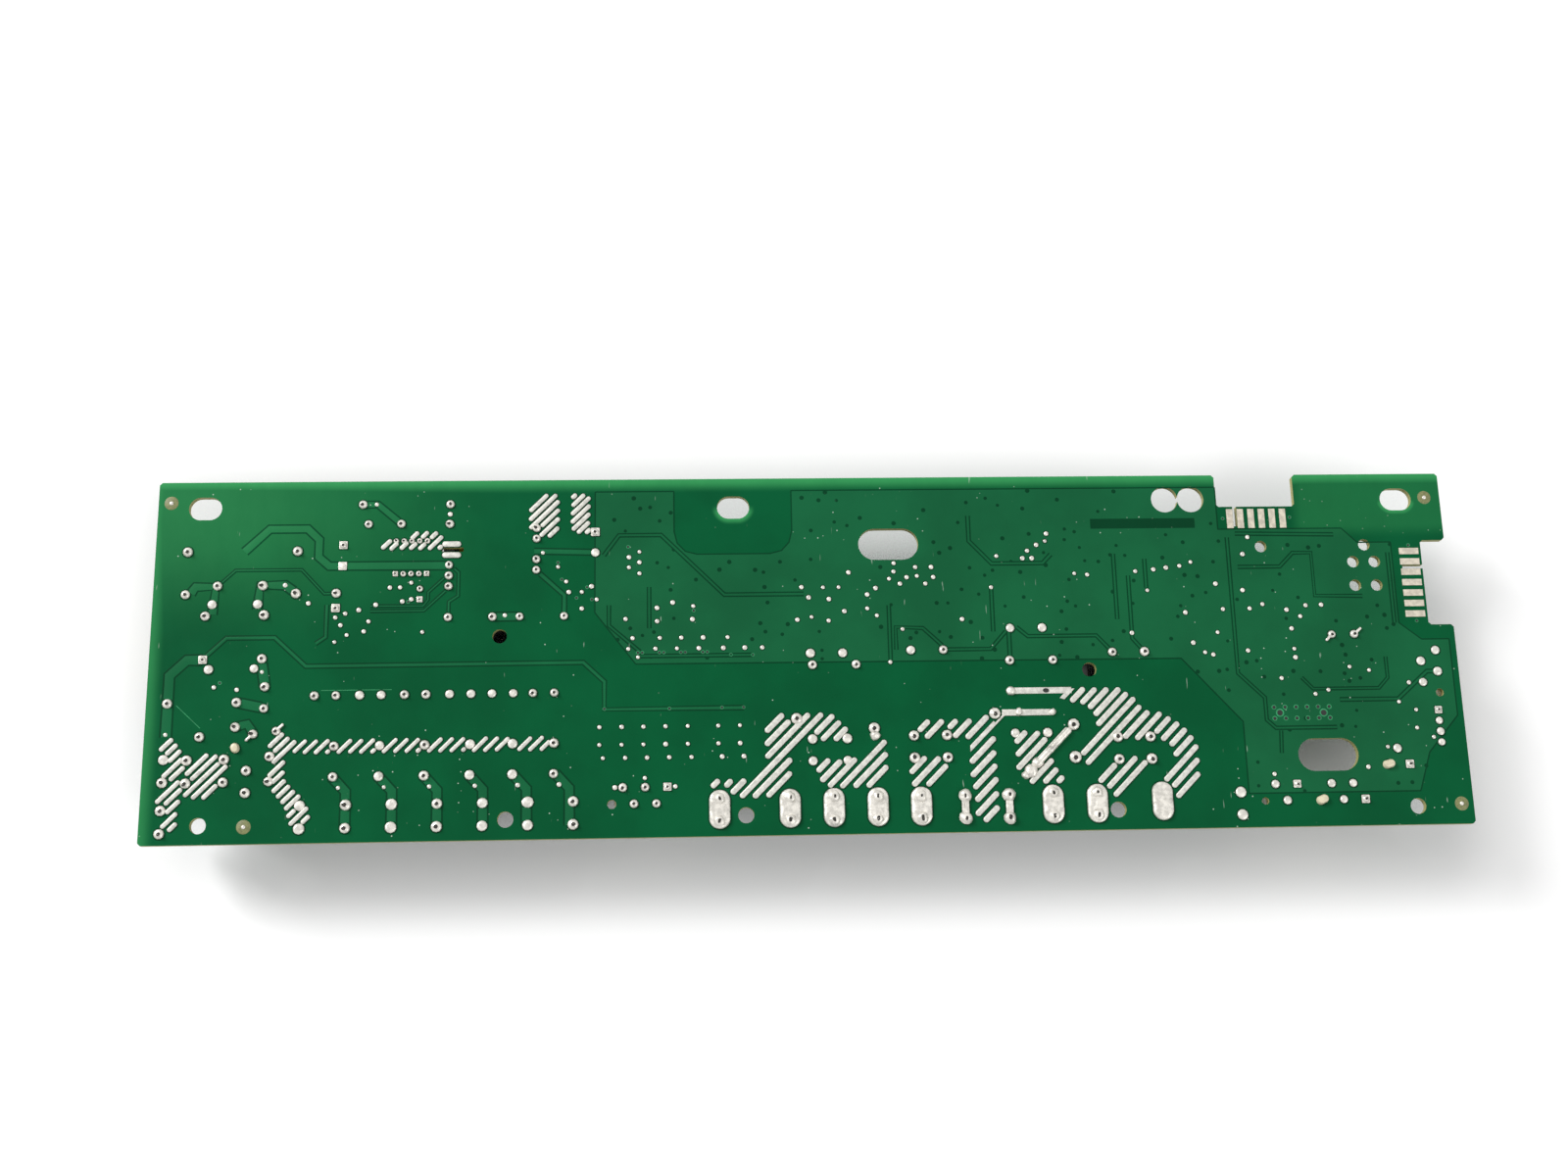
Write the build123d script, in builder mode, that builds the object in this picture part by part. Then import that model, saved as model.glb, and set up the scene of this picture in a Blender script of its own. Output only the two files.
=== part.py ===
"""Power board of a built-in oven: a bare single-piece assembly that screws into the oven's control housing.

The board lies solder side up on its three tallest components, as it would on a bench.
Frame: X along the board, Y across it, Z up. The origin is under the middle of the board's outline,
on the surface that the board stands on. Sketches on the board use its own lower left corner as zero.
All sizes are in millimetres.
"""

import os
from math import sqrt

from build123d import *

# ---------------------------------------------------------------- driving dimensions
# The board is laid out in five zones along its length, from left to right.
mains_zone = 30.0
bank_zone = 70.0
signal_zone = 20.0
oven_zone = 120.0
service_zone = 60.0
board_width = 83.3
board_thickness = 1.6
corner_bevel = 0.6

# Recesses in the outline where card-edge connectors push on
top_notch_length = 18.8
top_notch_depth = 7.8
top_notch_from_right = 35.2
side_notch_length = 20.4
side_notch_depth = 5.9
side_notch_from_top = 16.4
contact_pitch = 2.52
contact_width = 1.52
contact_length = 4.65
contact_edge_gap = 0.6
top_contact_count = 6
side_contact_count = 7
key_slot_width = 0.9
key_slot_depth = 4.8
key_after_top_contact = 1
key_after_side_contact = 2

# Fixing slots, wire slots and holes
fixing_slot_length = 7.5
fixing_slot_width = 5.4
fixing_slot_inset = 10.7
fixing_slot_from_top = 6.3
wire_slot_length = 14.0
wire_slot_width = 7.5
screw_hole_diameter = 3.6
screw_hole_inset = 12.9
screw_hole_from_front = 4.2
twin_hole_diameter = 6.3
twin_hole_spacing = 6.2
peg_hole_diameter = 2.8
post_hole_diameter = 3.3
isolation_slot_length = 5.0
isolation_slot_width = 1.0
motor_peg_diameter = 2.1
earth_peg_diameter = 1.7
open_hole_diameter = 1.9
small_hole_sides = 12

# Slim relays in the bank
slim_relay_width = 7.2
slim_relay_length = 20.5
slim_relay_height = 15.3
slim_coil_spread = 4.8
slim_common_from_front = 7.9
slim_contact_pitch = 6.9
slim_coil_from_back = 1.1

# Large relays of the heating elements
oven_relay_width = 27.4
oven_relay_length = 32.4
oven_relay_height = 20.1
oven_coil_spread = 10.0
oven_coil_from_back = 3.9

# Fan and lamp relays
power_relay_width = 12.7
power_relay_length = 29.0
power_relay_height = 15.7
power_coil_spread = 7.5
power_coil_from_back = 2.3
power_contact_first = 19.8
power_contact_pitch = 5.1

# Relay cases
case_bevel = 0.8
case_crown = 0.6
case_seam = 0.35
case_standoff = 0.4
base_height = 0.8
standoff_width = 1.6

# Tab terminals
tab_width = 6.3
tab_thickness = 0.8
tab_height = 11.5
tab_tip = 1.3
tab_shoulder = 1.4
tab_leg_pitch = 5.1
tab_leg_width = 1.3
slim_tab_width = 4.8
tab_row_from_front = 5.75
bank_tab_first = 5.0
bank_tab_pitch = 10.05

# Solder on the upper face
strip_width = 1.05
bus_strip_width = 0.95
strip_height = 0.3
least_strip_area = 1.0
bar_width = 1.45
joint_height = 1.4
joint_slope = 28.0
joint_sides = 4
pad_length = 8.8
pad_width = 4.8
pad_bevel = 1.4
pad_height = 0.55
pad_tip_diameter = 3.0
dot_diameter = 1.25
dot_height = 0.35
contact_height = 0.1
solder_gap = 0.15
spark_gap_pitch = 2.6
spark_gap_pad_length = 4.1
spark_gap_pad_width = 1.4

# Cans: diameter and height
can_sides = 16
can_bevel = 0.5
bulk_can_diameter = 10.0
second_can_diameter = 8.0
second_can_height = 12.0
bias_can_diameter = 5.0
bias_can_height = 11.0
output_can_diameter = 10.0
output_can_height = 16.0
memory_can_diameter = 8.0
memory_can_height = 11.5
fuse_diameter = 8.4
fuse_height = 7.6
drum_diameter = 8.0
drum_height = 9.2
drum_flange = 1.7
drum_winding_diameter = 6.6
post_diameter = 6.4
post_height = 14.0

# Film capacitors: width, length and height
x_capacitor_size = (6.0, 13.0, 12.0)
line_capacitor_size = (4.2, 8.2, 9.0)
surge_capacitor_size = (3.4, 8.0, 9.0)

# Dipped discs: diameter and thickness
disc_sides = 12
wire_size = 0.7
varistor_size = (14.0, 4.4)
thermistor_size = (8.5, 3.8)
feed_capacitor_size = (7.5, 3.4)
snubber_size = (5.6, 2.8)
snubber_clearance = 0.25
snubber_inset = 1.55
y_capacitor_size = (11.0, 4.0)
disc_stand = 1.8

# Mains filter choke
choke_ring = (29.0, 13.2)
choke_leg = (3.4, 4.6)
choke_base_height = 1.6
choke_core_level = 6.6
choke_winding = (16.5, 6.2, 8.6)
choke_base_margin = 1.2

# Transformer
core_size = (23.0, 14.4, 4.5)
core_leg = 4.2
core_wall = 2.3
core_level = 6.2
core_fit = 0.1
bobbin_wall = 0.6
flange_thickness = 0.8
flange_size = (9.6, 10.6)
rail_width = 2.4
winding_thickness = 1.9
winding_bevel = 1.2

# Pin headers and chips
header_pitch = 2.5
header_row_step = 3.7
header_margin = 1.4
header_height = 10.6
header_floor = 1.8
header_wall = 0.8
header_key = 2.0
header_depth = 8.4
data_header_depth = 5.0
pin_size = 0.8
pin_reach = 6.5
chip_standoff = 0.2
chip_bevel = 0.3
switcher_size = (9.4, 6.6, 3.4)
controller_size = (10.0, 10.0, 1.4)
driver_size = (11.4, 7.4, 2.3)
optocoupler_size = (4.6, 6.4, 3.4)
bridge_size = (8.2, 6.2, 3.0)
resistor_size = (2.9, 1.4)
resistor_height = 0.6

# ---------------------------------------------------------------- worked out from those
board_length = mains_zone + bank_zone + signal_zone + oven_zone + service_zone
bank_x = mains_zone
signal_x = bank_x + bank_zone
oven_x = signal_x + signal_zone
service_x = oven_x + oven_zone
bulk_can_height = oven_relay_height
component_face = oven_relay_height
solder_face = component_face + board_thickness

board_corner = (-board_length / 2, -board_width / 2)
under = Plane(origin=(*board_corner, component_face))
over = under.offset(board_thickness)

top_notch_right = board_length - top_notch_from_right
top_notch_left = top_notch_right - top_notch_length
top_notch_floor = board_width - top_notch_depth
side_notch_floor = board_length - side_notch_depth
side_notch_top = board_width - side_notch_from_top
side_notch_bottom = side_notch_top - side_notch_length

pieces = {}
os.makedirs("parts", exist_ok=True)


def moved(zone, spots):
    """Spots of a zone as spots of the board."""
    return [(zone + x, y) for x, y in spots]


# ---------------------------------------------------------------- where things stand on the board
slim_relay_spots = [(bank_x + x, 23.85) for x in (9.6, 19.7, 29.7, 39.8, 49.3, 58.5)]
oven_relay_spots = [(oven_x + 34.6, 26.4), (oven_x + 80.05, 26.9)]
power_relay_spots = [(oven_x + 56.05, 29.65), (oven_x + 102.75, 28.65)]

bank_tabs = [(bank_x + bank_tab_first + bank_tab_pitch * i, tab_row_from_front) for i in range(7)]
oven_tabs = moved(oven_x, [(x, 6.0) for x in (8.0, 23.8, 33.7, 43.6, 53.4, 83.3, 93.4)])
spare_pad = (oven_x + 108.3, 6.3)
slim_tabs = moved(oven_x, [(63.3, tab_row_from_front), (73.3, tab_row_from_front)])
mains_tabs = [(4.6, 5.1), (4.6, 16.4), (9.7, 16.2), (17.9, 16.3)]
earth_tab = (service_x + 6.4, 5.45)

choke_middle = (19.7, 61.7)
choke_pin_spread = (24.8, 10.0)
bulk_can_spot = (bank_x + 12.45, 65.55)
transformer_middle = (bank_x + 46.55, 65.0)
transformer_row_spread = 19.95
screen_post_spot = (bank_x + 48.4, 46.2)

# Pin headers along the front: name, middle, number of ways, and the row of its first lead (1 back, -1 front)
front_headers = [
    ("motor_header", (signal_x + 11.35, 9.4), 5, 1),
    ("door_header", (service_x + 17.0, 7.85), 3, 1),
    ("sensor_header", (service_x + 30.0, 7.85), 5, -1),
    ("lamp_header", (service_x + 43.6, 15.7), 3, -1),
]
side_header_spot = (board_length - 6.9, 35.35)
data_header_spot = (board_length - 5.9, 22.55)
side_header_ways = 5
data_header_ways = 4

# ---------------------------------------------------------------- soldered leads
joints = []


def solder(diameter, spots):
    """Note a soldered lead of this diameter at each spot of the board."""
    for x, y in spots:
        joints.append((x, y, diameter))


def pair(middle, pitch, across=False):
    """Two leads about a middle, one before the other along Y, or side by side where across is set."""
    x, y = middle
    if across:
        return [(x - pitch / 2, y), (x + pitch / 2, y)]
    return [(x, y - pitch / 2), (x, y + pitch / 2)]


def staggered(middle, ways, first_row=1, upright=False):
    """Leads of a header in two rows, every second one in the other row."""
    x, y = middle
    spots = []
    for i in range(ways):
        along = (i - (ways - 1) / 2) * header_pitch
        across = header_row_step / 2 * first_row * (-1) ** i
        spots.append((x + across, y + along) if upright else (x + along, y + across))
    return spots


for x, y in slim_relay_spots:
    front = y - slim_relay_length / 2
    common = (x + slim_coil_spread / 2, front + slim_common_from_front)
    solder(2.0, pair((x, front + slim_relay_length - slim_coil_from_back), slim_coil_spread, True))
    solder(2.2, [common, (common[0], common[1] - slim_contact_pitch)])

for spot in bank_tabs:
    solder(2.5, pair(spot, tab_leg_pitch))
for spot in mains_tabs:
    solder(2.3, pair(spot, tab_leg_pitch))
solder(2.6, pair(earth_tab, tab_leg_pitch))

for x, y in oven_relay_spots:
    back = y + oven_relay_length / 2
    solder(2.1, pair((x, back - oven_coil_from_back), oven_coil_spread, True))
oven_contacts = moved(oven_x, [(25.7, 26.3), (43.3, 23.9), (71.0, 26.9), (89.0, 24.1), (89.0, 16.6)])
solder(2.7, oven_contacts)

for x, y in power_relay_spots:
    coil_row = y + power_relay_length / 2 - power_coil_from_back
    first_row = coil_row - power_contact_first
    solder(2.1, pair((x, coil_row), power_coil_spread, True))
    solder(2.4, pair((x, first_row), power_coil_spread, True))
    solder(2.4, pair((x, first_row - power_contact_pitch), power_coil_spread, True))

# Spare holes for a smaller relay, filled with solder
solder(2.1, moved(oven_x, [(29.2, 41.4), (36.6, 41.4), (75.55, 46.8), (83.0, 46.8)]))
solder(2.2, moved(oven_x, [(29.2, 21.6), (37.1, 21.6), (29.2, 16.6), (37.1, 16.6)]))
solder(2.2, moved(oven_x, [(75.5, 22.3), (82.9, 22.3)]))

# Mains filter
for dx in (-choke_pin_spread[0] / 2, choke_pin_spread[0] / 2):
    solder(2.2, pair((choke_middle[0] + dx, choke_middle[1]), choke_pin_spread[1]))
solder(2.2, pair((19.5, 58.65), 10.2, True))
x_capacitor_spots = [(12.0, 46.6), (25.15, 46.7)]
x_capacitor_pitch = 10.1
for spot in x_capacitor_spots:
    solder(2.2, pair(spot, x_capacitor_pitch))
solder(2.1, [(13.4, 54.3), (13.4, 39.3), (23.6, 54.3), (23.5, 39.4)])
varistor_leads = [(4.7, 31.6), (12.2, 24.0)]
thermistor_leads = [(24.0, 24.5), (20.2, 21.4)]
surge_capacitor_spot = (20.0, 28.9)
surge_capacitor_pitch = 5.6
fuse_spot = (26.1, 32.75)
fuse_pitch = 4.95
feed_capacitor_spot = (22.85, 13.8)
feed_capacitor_pitch = 4.95
line_capacitor_spot = (27.9, 16.6)
line_capacitor_pitch = 5.6
solder(2.2, varistor_leads)
solder(2.1, thermistor_leads)
solder(2.2, pair(surge_capacitor_spot, surge_capacitor_pitch))
solder(2.1, pair(fuse_spot, fuse_pitch))
solder(2.2, pair(feed_capacitor_spot, feed_capacitor_pitch))
solder(2.2, pair(line_capacitor_spot, line_capacitor_pitch))
solder(2.1, [(29.1, 25.1)])

# Switching supply
second_can_spot = (bank_x + 11.2, 54.95)
bias_can_spot = (bank_x + 30.1, 56.3)
output_can_spot = (bank_x + 70.05, 68.2)
memory_can_spot = (service_x + 33.45, 44.4)
drum_choke_spot = (bank_x + 17.3, 75.35)
snubber_spot = (
    transformer_middle[0] - core_size[0] / 2 + snubber_inset,
    transformer_middle[1] + core_size[1] / 2 + snubber_clearance + snubber_size[0] / 2,
)
snubber_pitch = 4.7
disc_spots = [(bank_x + 41.65, 50.8), (bank_x + 57.9, 50.8)]
disc_pitch = 10.1
switcher_middle = (bank_x + 28.0, 65.0)
switcher_pitch = 1.78
switcher_rows = 7.8
solder(2.1, pair(bulk_can_spot, 4.95) + pair(second_can_spot, 3.5) + pair(output_can_spot, 4.9))
solder(1.5, pair(bias_can_spot, 2.5))
solder(1.9, pair(memory_can_spot, 5.3, True))
solder(2.0, moved(bank_x, [(16.6, 77.7), (18.0, 73.0), (25.5, 73.0)]))
solder(2.0, pair(snubber_spot, snubber_pitch))
for spot in disc_spots:
    solder(1.9, pair(spot, disc_pitch, True))
left_row = transformer_middle[0] - transformer_row_spread / 2
right_row = left_row + transformer_row_spread
solder(1.9, [(left_row, y) for y in (58.1, 60.6, 63.1)])
solder(1.9, [(right_row, y) for y in (61.75, 64.25, 69.2, 71.7)])
for i in range(5):
    along = switcher_middle[0] + (i - 2) * switcher_pitch
    solder(1.3, pair((along, switcher_middle[1]), switcher_rows))

# Headers
front_leads = []
for name, spot, ways, first_row in front_headers:
    front_leads += staggered(spot, ways, first_row)
open_lead, *side_leads = staggered(side_header_spot, side_header_ways, upright=True)
data_leads = [
    (data_header_spot[0], data_header_spot[1] + (i - (data_header_ways - 1) / 2) * header_pitch)
    for i in range(data_header_ways)
]
header_leads = front_leads + side_leads + data_leads
solder(2.0, front_leads)
solder(2.1, side_leads)
solder(1.8, data_leads)

# ---------------------------------------------------------------- plated holes with a drop of solder
dots = [(25.3, 38.6), (19.9, 34.6), (4.7, 24.6), (14.8, 35.2), (29.6, 58.7)]
dots += [(x + slim_coil_spread / 2 + 1.25, 13.05 - 0.9) for x, y in slim_relay_spots]
supply_dots = [(5.0, 54.4), (13.4, 51.9), (11.2, 51.0), (12.4, 49.2), (13.9, 46.9), (11.2, 45.3)]
supply_dots += [(16.4, 52.7), (18.7, 50.0), (17.7, 47.7), (20.2, 53.9), (30.9, 47.4), (19.7, 77.7)]
supply_dots += [(49.5, 51.1), (28.1, 59.0), (23.3, 57.9), (25.6, 57.9), (26.2, 54.6), (28.2, 55.1)]
supply_dots += [(58.0, 65.8), (61.5, 62.4), (63.4, 58.9), (64.0, 56.4), (67.0, 56.4), (69.2, 57.7)]
supply_dots += [(70.4, 54.6), (67.0, 52.5), (36.6, 75.25)]
dots += moved(bank_x, supply_dots)

driver_columns = (1.1, 6.1, 11.0, 16.0, 21.0, 27.9, 32.8)
driver_resistor_row = 22.9
driver_row = (7.6, 13.8, 18.7, 23.7, 29.3, 34.2, 38.2)
signal_dots = [(x, y) for x in driver_columns for y in (24.95, 20.9)]
signal_dots += [(x + 0.8, 17.9) for x in driver_columns]
signal_dots += [(x, 42.9) for x in driver_row]
signal_dots += [(x + 1.0, 45.4) for x in driver_row[:5]]
signal_dots += [(10.2, 65.8), (7.8, 64.55), (10.2, 63.3), (7.8, 62.1), (10.2, 60.65), (14.2, 52.45)]
signal_dots += [(17.8, 53.7), (14.2, 49.3), (22.5, 52.8), (22.3, 49.7), (7.0, 49.9), (9.8, 40.95)]
signal_dots += [(4.6, 11.25), (11.3, 13.3), (18.1, 11.3)]
dots += moved(signal_x, signal_dots)

logic_dots = [(27.5, 57.0), (32.5, 56.9), (29.1, 54.55), (26.4, 49.3), (29.7, 49.9), (38.5, 60.4)]
logic_dots += [(36.1, 56.9), (33.8, 54.1), (37.3, 51.2), (33.6, 49.0), (42.7, 55.1), (44.7, 56.6)]
logic_dots += [(42.6, 51.8), (44.8, 50.1), (49.1, 62.5), (49.0, 60.5), (47.9, 58.8), (50.4, 57.6)]
logic_dots += [(52.0, 59.1), (54.1, 61.5), (54.4, 59.4), (56.3, 57.55), (57.8, 61.5), (58.2, 59.1)]
logic_dots += [(50.6, 46.8), (64.5, 49.0), (71.6, 56.5), (73.2, 64.0), (79.3, 63.4), (81.5, 63.4)]
logic_dots += [(80.5, 65.2), (82.7, 66.6), (84.8, 67.5), (85.2, 69.3), (91.3, 59.6), (94.3, 59.3)]
logic_dots += [(105.7, 60.0), (110.0, 60.4), (113.0, 60.8), (116.2, 61.2), (118.9, 62.1), (108.2, 55.4)]
logic_dots += [(116.8, 50.0), (103.9, 45.3), (118.1, 42.8), (47.5, 39.1)]
dots += moved(oven_x, logic_dots)

service_dots = [(4.4, 56.8), (5.7, 50.7), (10.7, 55.2), (12.9, 68.0), (11.4, 63.9), (4.0, 45.2), (12.0, 50.8)]
service_dots += [(0.7, 40.5), (2.6, 39.95), (10.8, 40.8), (15.1, 51.8), (20.7, 50.4), (25.3, 51.4)]
service_dots += [(29.0, 51.5), (23.8, 48.8), (21.5, 45.9), (21.7, 41.1), (21.8, 39.05), (18.1, 34.2)]
service_dots += [(25.7, 30.4), (28.8, 31.3), (34.3, 36.7), (38.8, 35.8), (36.4, 13.3), (41.4, 17.9)]
service_dots += [(14.5, 12.0)]
dots += moved(service_x, service_dots)
edge_dots = [(12.1, 32.8), (14.9, 28.3), (11.1, 26.4), (11.3, 22.2), (7.6, 20.0)]
dots += [(board_length - inset, y) for inset, y in edge_dots]
fiducials = [(2.9, board_width - 4.9), (22.9, 3.8)]
fiducials += [(board_length - 3.7, board_width - 5.9), (board_length - 2.8, 4.6)]

# ---------------------------------------------------------------- circuit board
fixing_slot_y = board_width - fixing_slot_from_top
fixing_slots = [(fixing_slot_inset, fixing_slot_y), (board_length - fixing_slot_inset, fixing_slot_y)]
pillar_slot = (oven_x + 12.0, board_width - 7.0)
wire_slots = [(oven_x + 48.0, 67.1), (service_x + 27.4, 16.3)]
screw_holes = [(screw_hole_inset, screw_hole_from_front)]
screw_holes += [(board_length - screw_hole_inset, screw_hole_from_front)]
front_holes = [(bank_x + 50.3, 4.5), (oven_x + 13.9, 4.6), (oven_x + 98.1, 4.5)]
twin_holes = pair((oven_x + 116.9, board_width - 5.9), twin_hole_spacing, True)
peg_holes = moved(service_x, [(15.9, 65.7), (40.6, 65.9)])
peg_holes += moved(service_x, [(x, y) for x in (37.6, 42.7) for y in (61.8, 56.1)])
post_holes = [screen_post_spot, (oven_x + 93.4, 36.8)]
small_holes = [((signal_x + 3.9, 7.5), motor_peg_diameter), ((service_x + 11.9, 5.9), earth_peg_diameter)]
small_holes += [(open_lead, open_hole_diameter)]
isolation_slot_spot = (bank_x + 37.3, 66.75)

with BuildPart() as circuit_board:
    with BuildSketch(under) as board_face:
        with BuildLine():
            Polyline(
                (0, 0),
                (board_length, 0),
                (board_length, side_notch_bottom),
                (side_notch_floor, side_notch_bottom),
                (side_notch_floor, side_notch_top),
                (board_length, side_notch_top),
                (board_length, board_width),
                (top_notch_right, board_width),
                (top_notch_right, top_notch_floor),
                (top_notch_left, top_notch_floor),
                (top_notch_left, board_width),
                (0, board_width),
                close=True,
            )
        make_face()
        chamfer(board_face.vertices(), corner_bevel)
        top_row = (top_contact_count - 1) * contact_pitch
        side_row = (side_contact_count - 1) * contact_pitch
        top_contact_first = top_notch_left + (top_notch_length - top_row) / 2
        side_contact_first = side_notch_top - (side_notch_length - side_row) / 2
        key_x = top_contact_first + (key_after_top_contact - 0.5) * contact_pitch
        key_y = side_contact_first - (key_after_side_contact - 0.5) * contact_pitch
        with Locations((key_x, top_notch_floor - key_slot_depth / 2)):
            Rectangle(key_slot_width, key_slot_depth, mode=Mode.SUBTRACT)
        with Locations((side_notch_floor - key_slot_depth / 2, key_y)):
            Rectangle(key_slot_depth, key_slot_width, mode=Mode.SUBTRACT)
        with Locations(*fixing_slots, pillar_slot):
            SlotOverall(fixing_slot_length, fixing_slot_width, mode=Mode.SUBTRACT)
        with Locations(*wire_slots):
            SlotOverall(wire_slot_length, wire_slot_width, mode=Mode.SUBTRACT)
        with Locations(isolation_slot_spot):
            Rectangle(isolation_slot_length, isolation_slot_width, mode=Mode.SUBTRACT)
        with Locations(*screw_holes, *front_holes):
            Circle(screw_hole_diameter / 2, mode=Mode.SUBTRACT)
        with Locations(*twin_holes):
            Circle(twin_hole_diameter / 2, mode=Mode.SUBTRACT)
        with Locations(*peg_holes):
            RegularPolygon(peg_hole_diameter / 2, side_count=small_hole_sides, mode=Mode.SUBTRACT)
        with Locations(*post_holes):
            Circle(post_hole_diameter / 2, mode=Mode.SUBTRACT)
        for spot, diameter in small_holes:
            with Locations(spot):
                RegularPolygon(diameter / 2, side_count=small_hole_sides, mode=Mode.SUBTRACT)
    extrude(amount=board_thickness)
pieces["circuit_board"] = circuit_board.part

# ---------------------------------------------------------------- card-edge contacts
with BuildPart() as top_edge_contacts:
    with BuildSketch(over):
        row_y = top_notch_floor - contact_edge_gap - contact_length / 2
        with Locations(*[(top_contact_first + i * contact_pitch, row_y) for i in range(top_contact_count)]):
            Rectangle(contact_width, contact_length)
    extrude(amount=contact_height)
pieces["top_edge_contacts"] = top_edge_contacts.part

with BuildPart() as side_edge_contacts:
    with BuildSketch(over):
        row_x = side_notch_floor - contact_edge_gap - contact_length / 2
        with Locations(*[(row_x, side_contact_first - i * contact_pitch) for i in range(side_contact_count)]):
            Rectangle(contact_length, contact_width)
    extrude(amount=contact_height)
pieces["side_edge_contacts"] = side_edge_contacts.part

# ---------------------------------------------------------------- solder on the leads
joint_sizes = sorted({diameter for x, y, diameter in joints})

with BuildPart() as lead_joints:
    for size in joint_sizes:
        with BuildSketch(over):
            with Locations(*[(x, y) for x, y, diameter in joints if diameter == size]):
                RegularPolygon(size / 2, side_count=joint_sides)
        extrude(amount=min(joint_height, size * 0.6), taper=joint_slope, clean=False)
pieces["lead_joints"] = lead_joints.part

with BuildPart() as plated_holes:
    with BuildSketch(over):
        with Locations(*dots, *fiducials):
            RegularPolygon(dot_diameter / 2, side_count=4)
    extrude(amount=dot_height, clean=False)
pieces["plated_holes"] = plated_holes.part

with BuildPart() as terminal_pads:
    with BuildSketch(over) as wide_pads:
        with Locations(*oven_tabs, spare_pad):
            Rectangle(pad_width, pad_length)
        chamfer(wide_pads.vertices(), pad_bevel)
    extrude(amount=pad_height, clean=False)
    tips = [spot for middle in oven_tabs for spot in pair(middle, tab_leg_pitch)]
    with BuildSketch(over.offset(pad_height)):
        with Locations(*tips):
            RegularPolygon(pad_tip_diameter / 2, side_count=joint_sides)
    extrude(amount=joint_height - pad_height, taper=joint_slope, clean=False)
    with BuildSketch(over):
        with Locations(*slim_tabs):
            Rectangle(pad_width / 3, tab_leg_pitch)
        with Locations(*[spot for middle in slim_tabs for spot in pair(middle, tab_leg_pitch)]):
            RegularPolygon(pad_width / 4, side_count=joint_sides)
    extrude(amount=pad_height, clean=False)
pieces["terminal_pads"] = terminal_pads.part

# ---------------------------------------------------------------- tinned copper, bared in a hatch of strips
supply_fields = [
    ([
        (54.9, 71.6), (56.6, 71.6), (57.3, 69.5), (61.6, 69.5), (61.6, 79.8), (57.9, 79.8),
        (54.9, 76.8),
    ], -20.8, 2.1),
    ([
        (64.6, 71.0), (66.0, 70.4), (68.7, 70.4), (68.7, 79.8), (64.6, 79.8),
    ], -14.2, 1.95),
    ([
        (20.9, 66.9), (34.9, 66.9), (34.9, 71.0), (27.0, 71.0), (27.0, 69.3), (20.9, 69.3),
    ], -45.9, 2.18),
]
mains_fields = [
    ([
        (3.3, 21.6), (5.0, 20.0), (5.6, 17.2), (8.9, 20.5), (6.0, 23.9),
    ], -17.3, 2.3),
    ([
        (3.6, 15.2), (5.0, 14.2), (7.6, 14.2), (10.1, 16.9), (10.1, 20.2), (8.6, 20.2),
    ], -17.3, 2.3),
    ([
        (9.6, 10.2), (14.8, 10.2), (18.8, 14.2), (18.8, 18.2), (16.8, 20.0), (12.6, 20.0),
        (9.6, 16.6),
    ], -17.3, 2.3),
    ([
        (3.4, 10.4), (3.4, 8.9), (6.0, 8.9), (6.0, 6.4), (4.9, 5.5), (4.9, 2.3), (8.2, 3.6),
        (8.2, 9.6), (9.3, 10.7), (9.3, 12.4), (8.0, 15.0),
    ], -17.3, 2.3),
    ([
        (27.6, 23.0), (27.6, 19.2), (29.6, 18.5), (27.0, 15.1), (27.6, 13.0), (32.0, 7.6),
        (32.8, 4.2), (34.6, 2.4), (37.2, 5.0), (36.8, 8.6), (31.3, 14.1), (31.3, 20.4),
        (33.6, 22.7), (30.4, 24.7),
    ], 6.15, 2.27),
]
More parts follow.
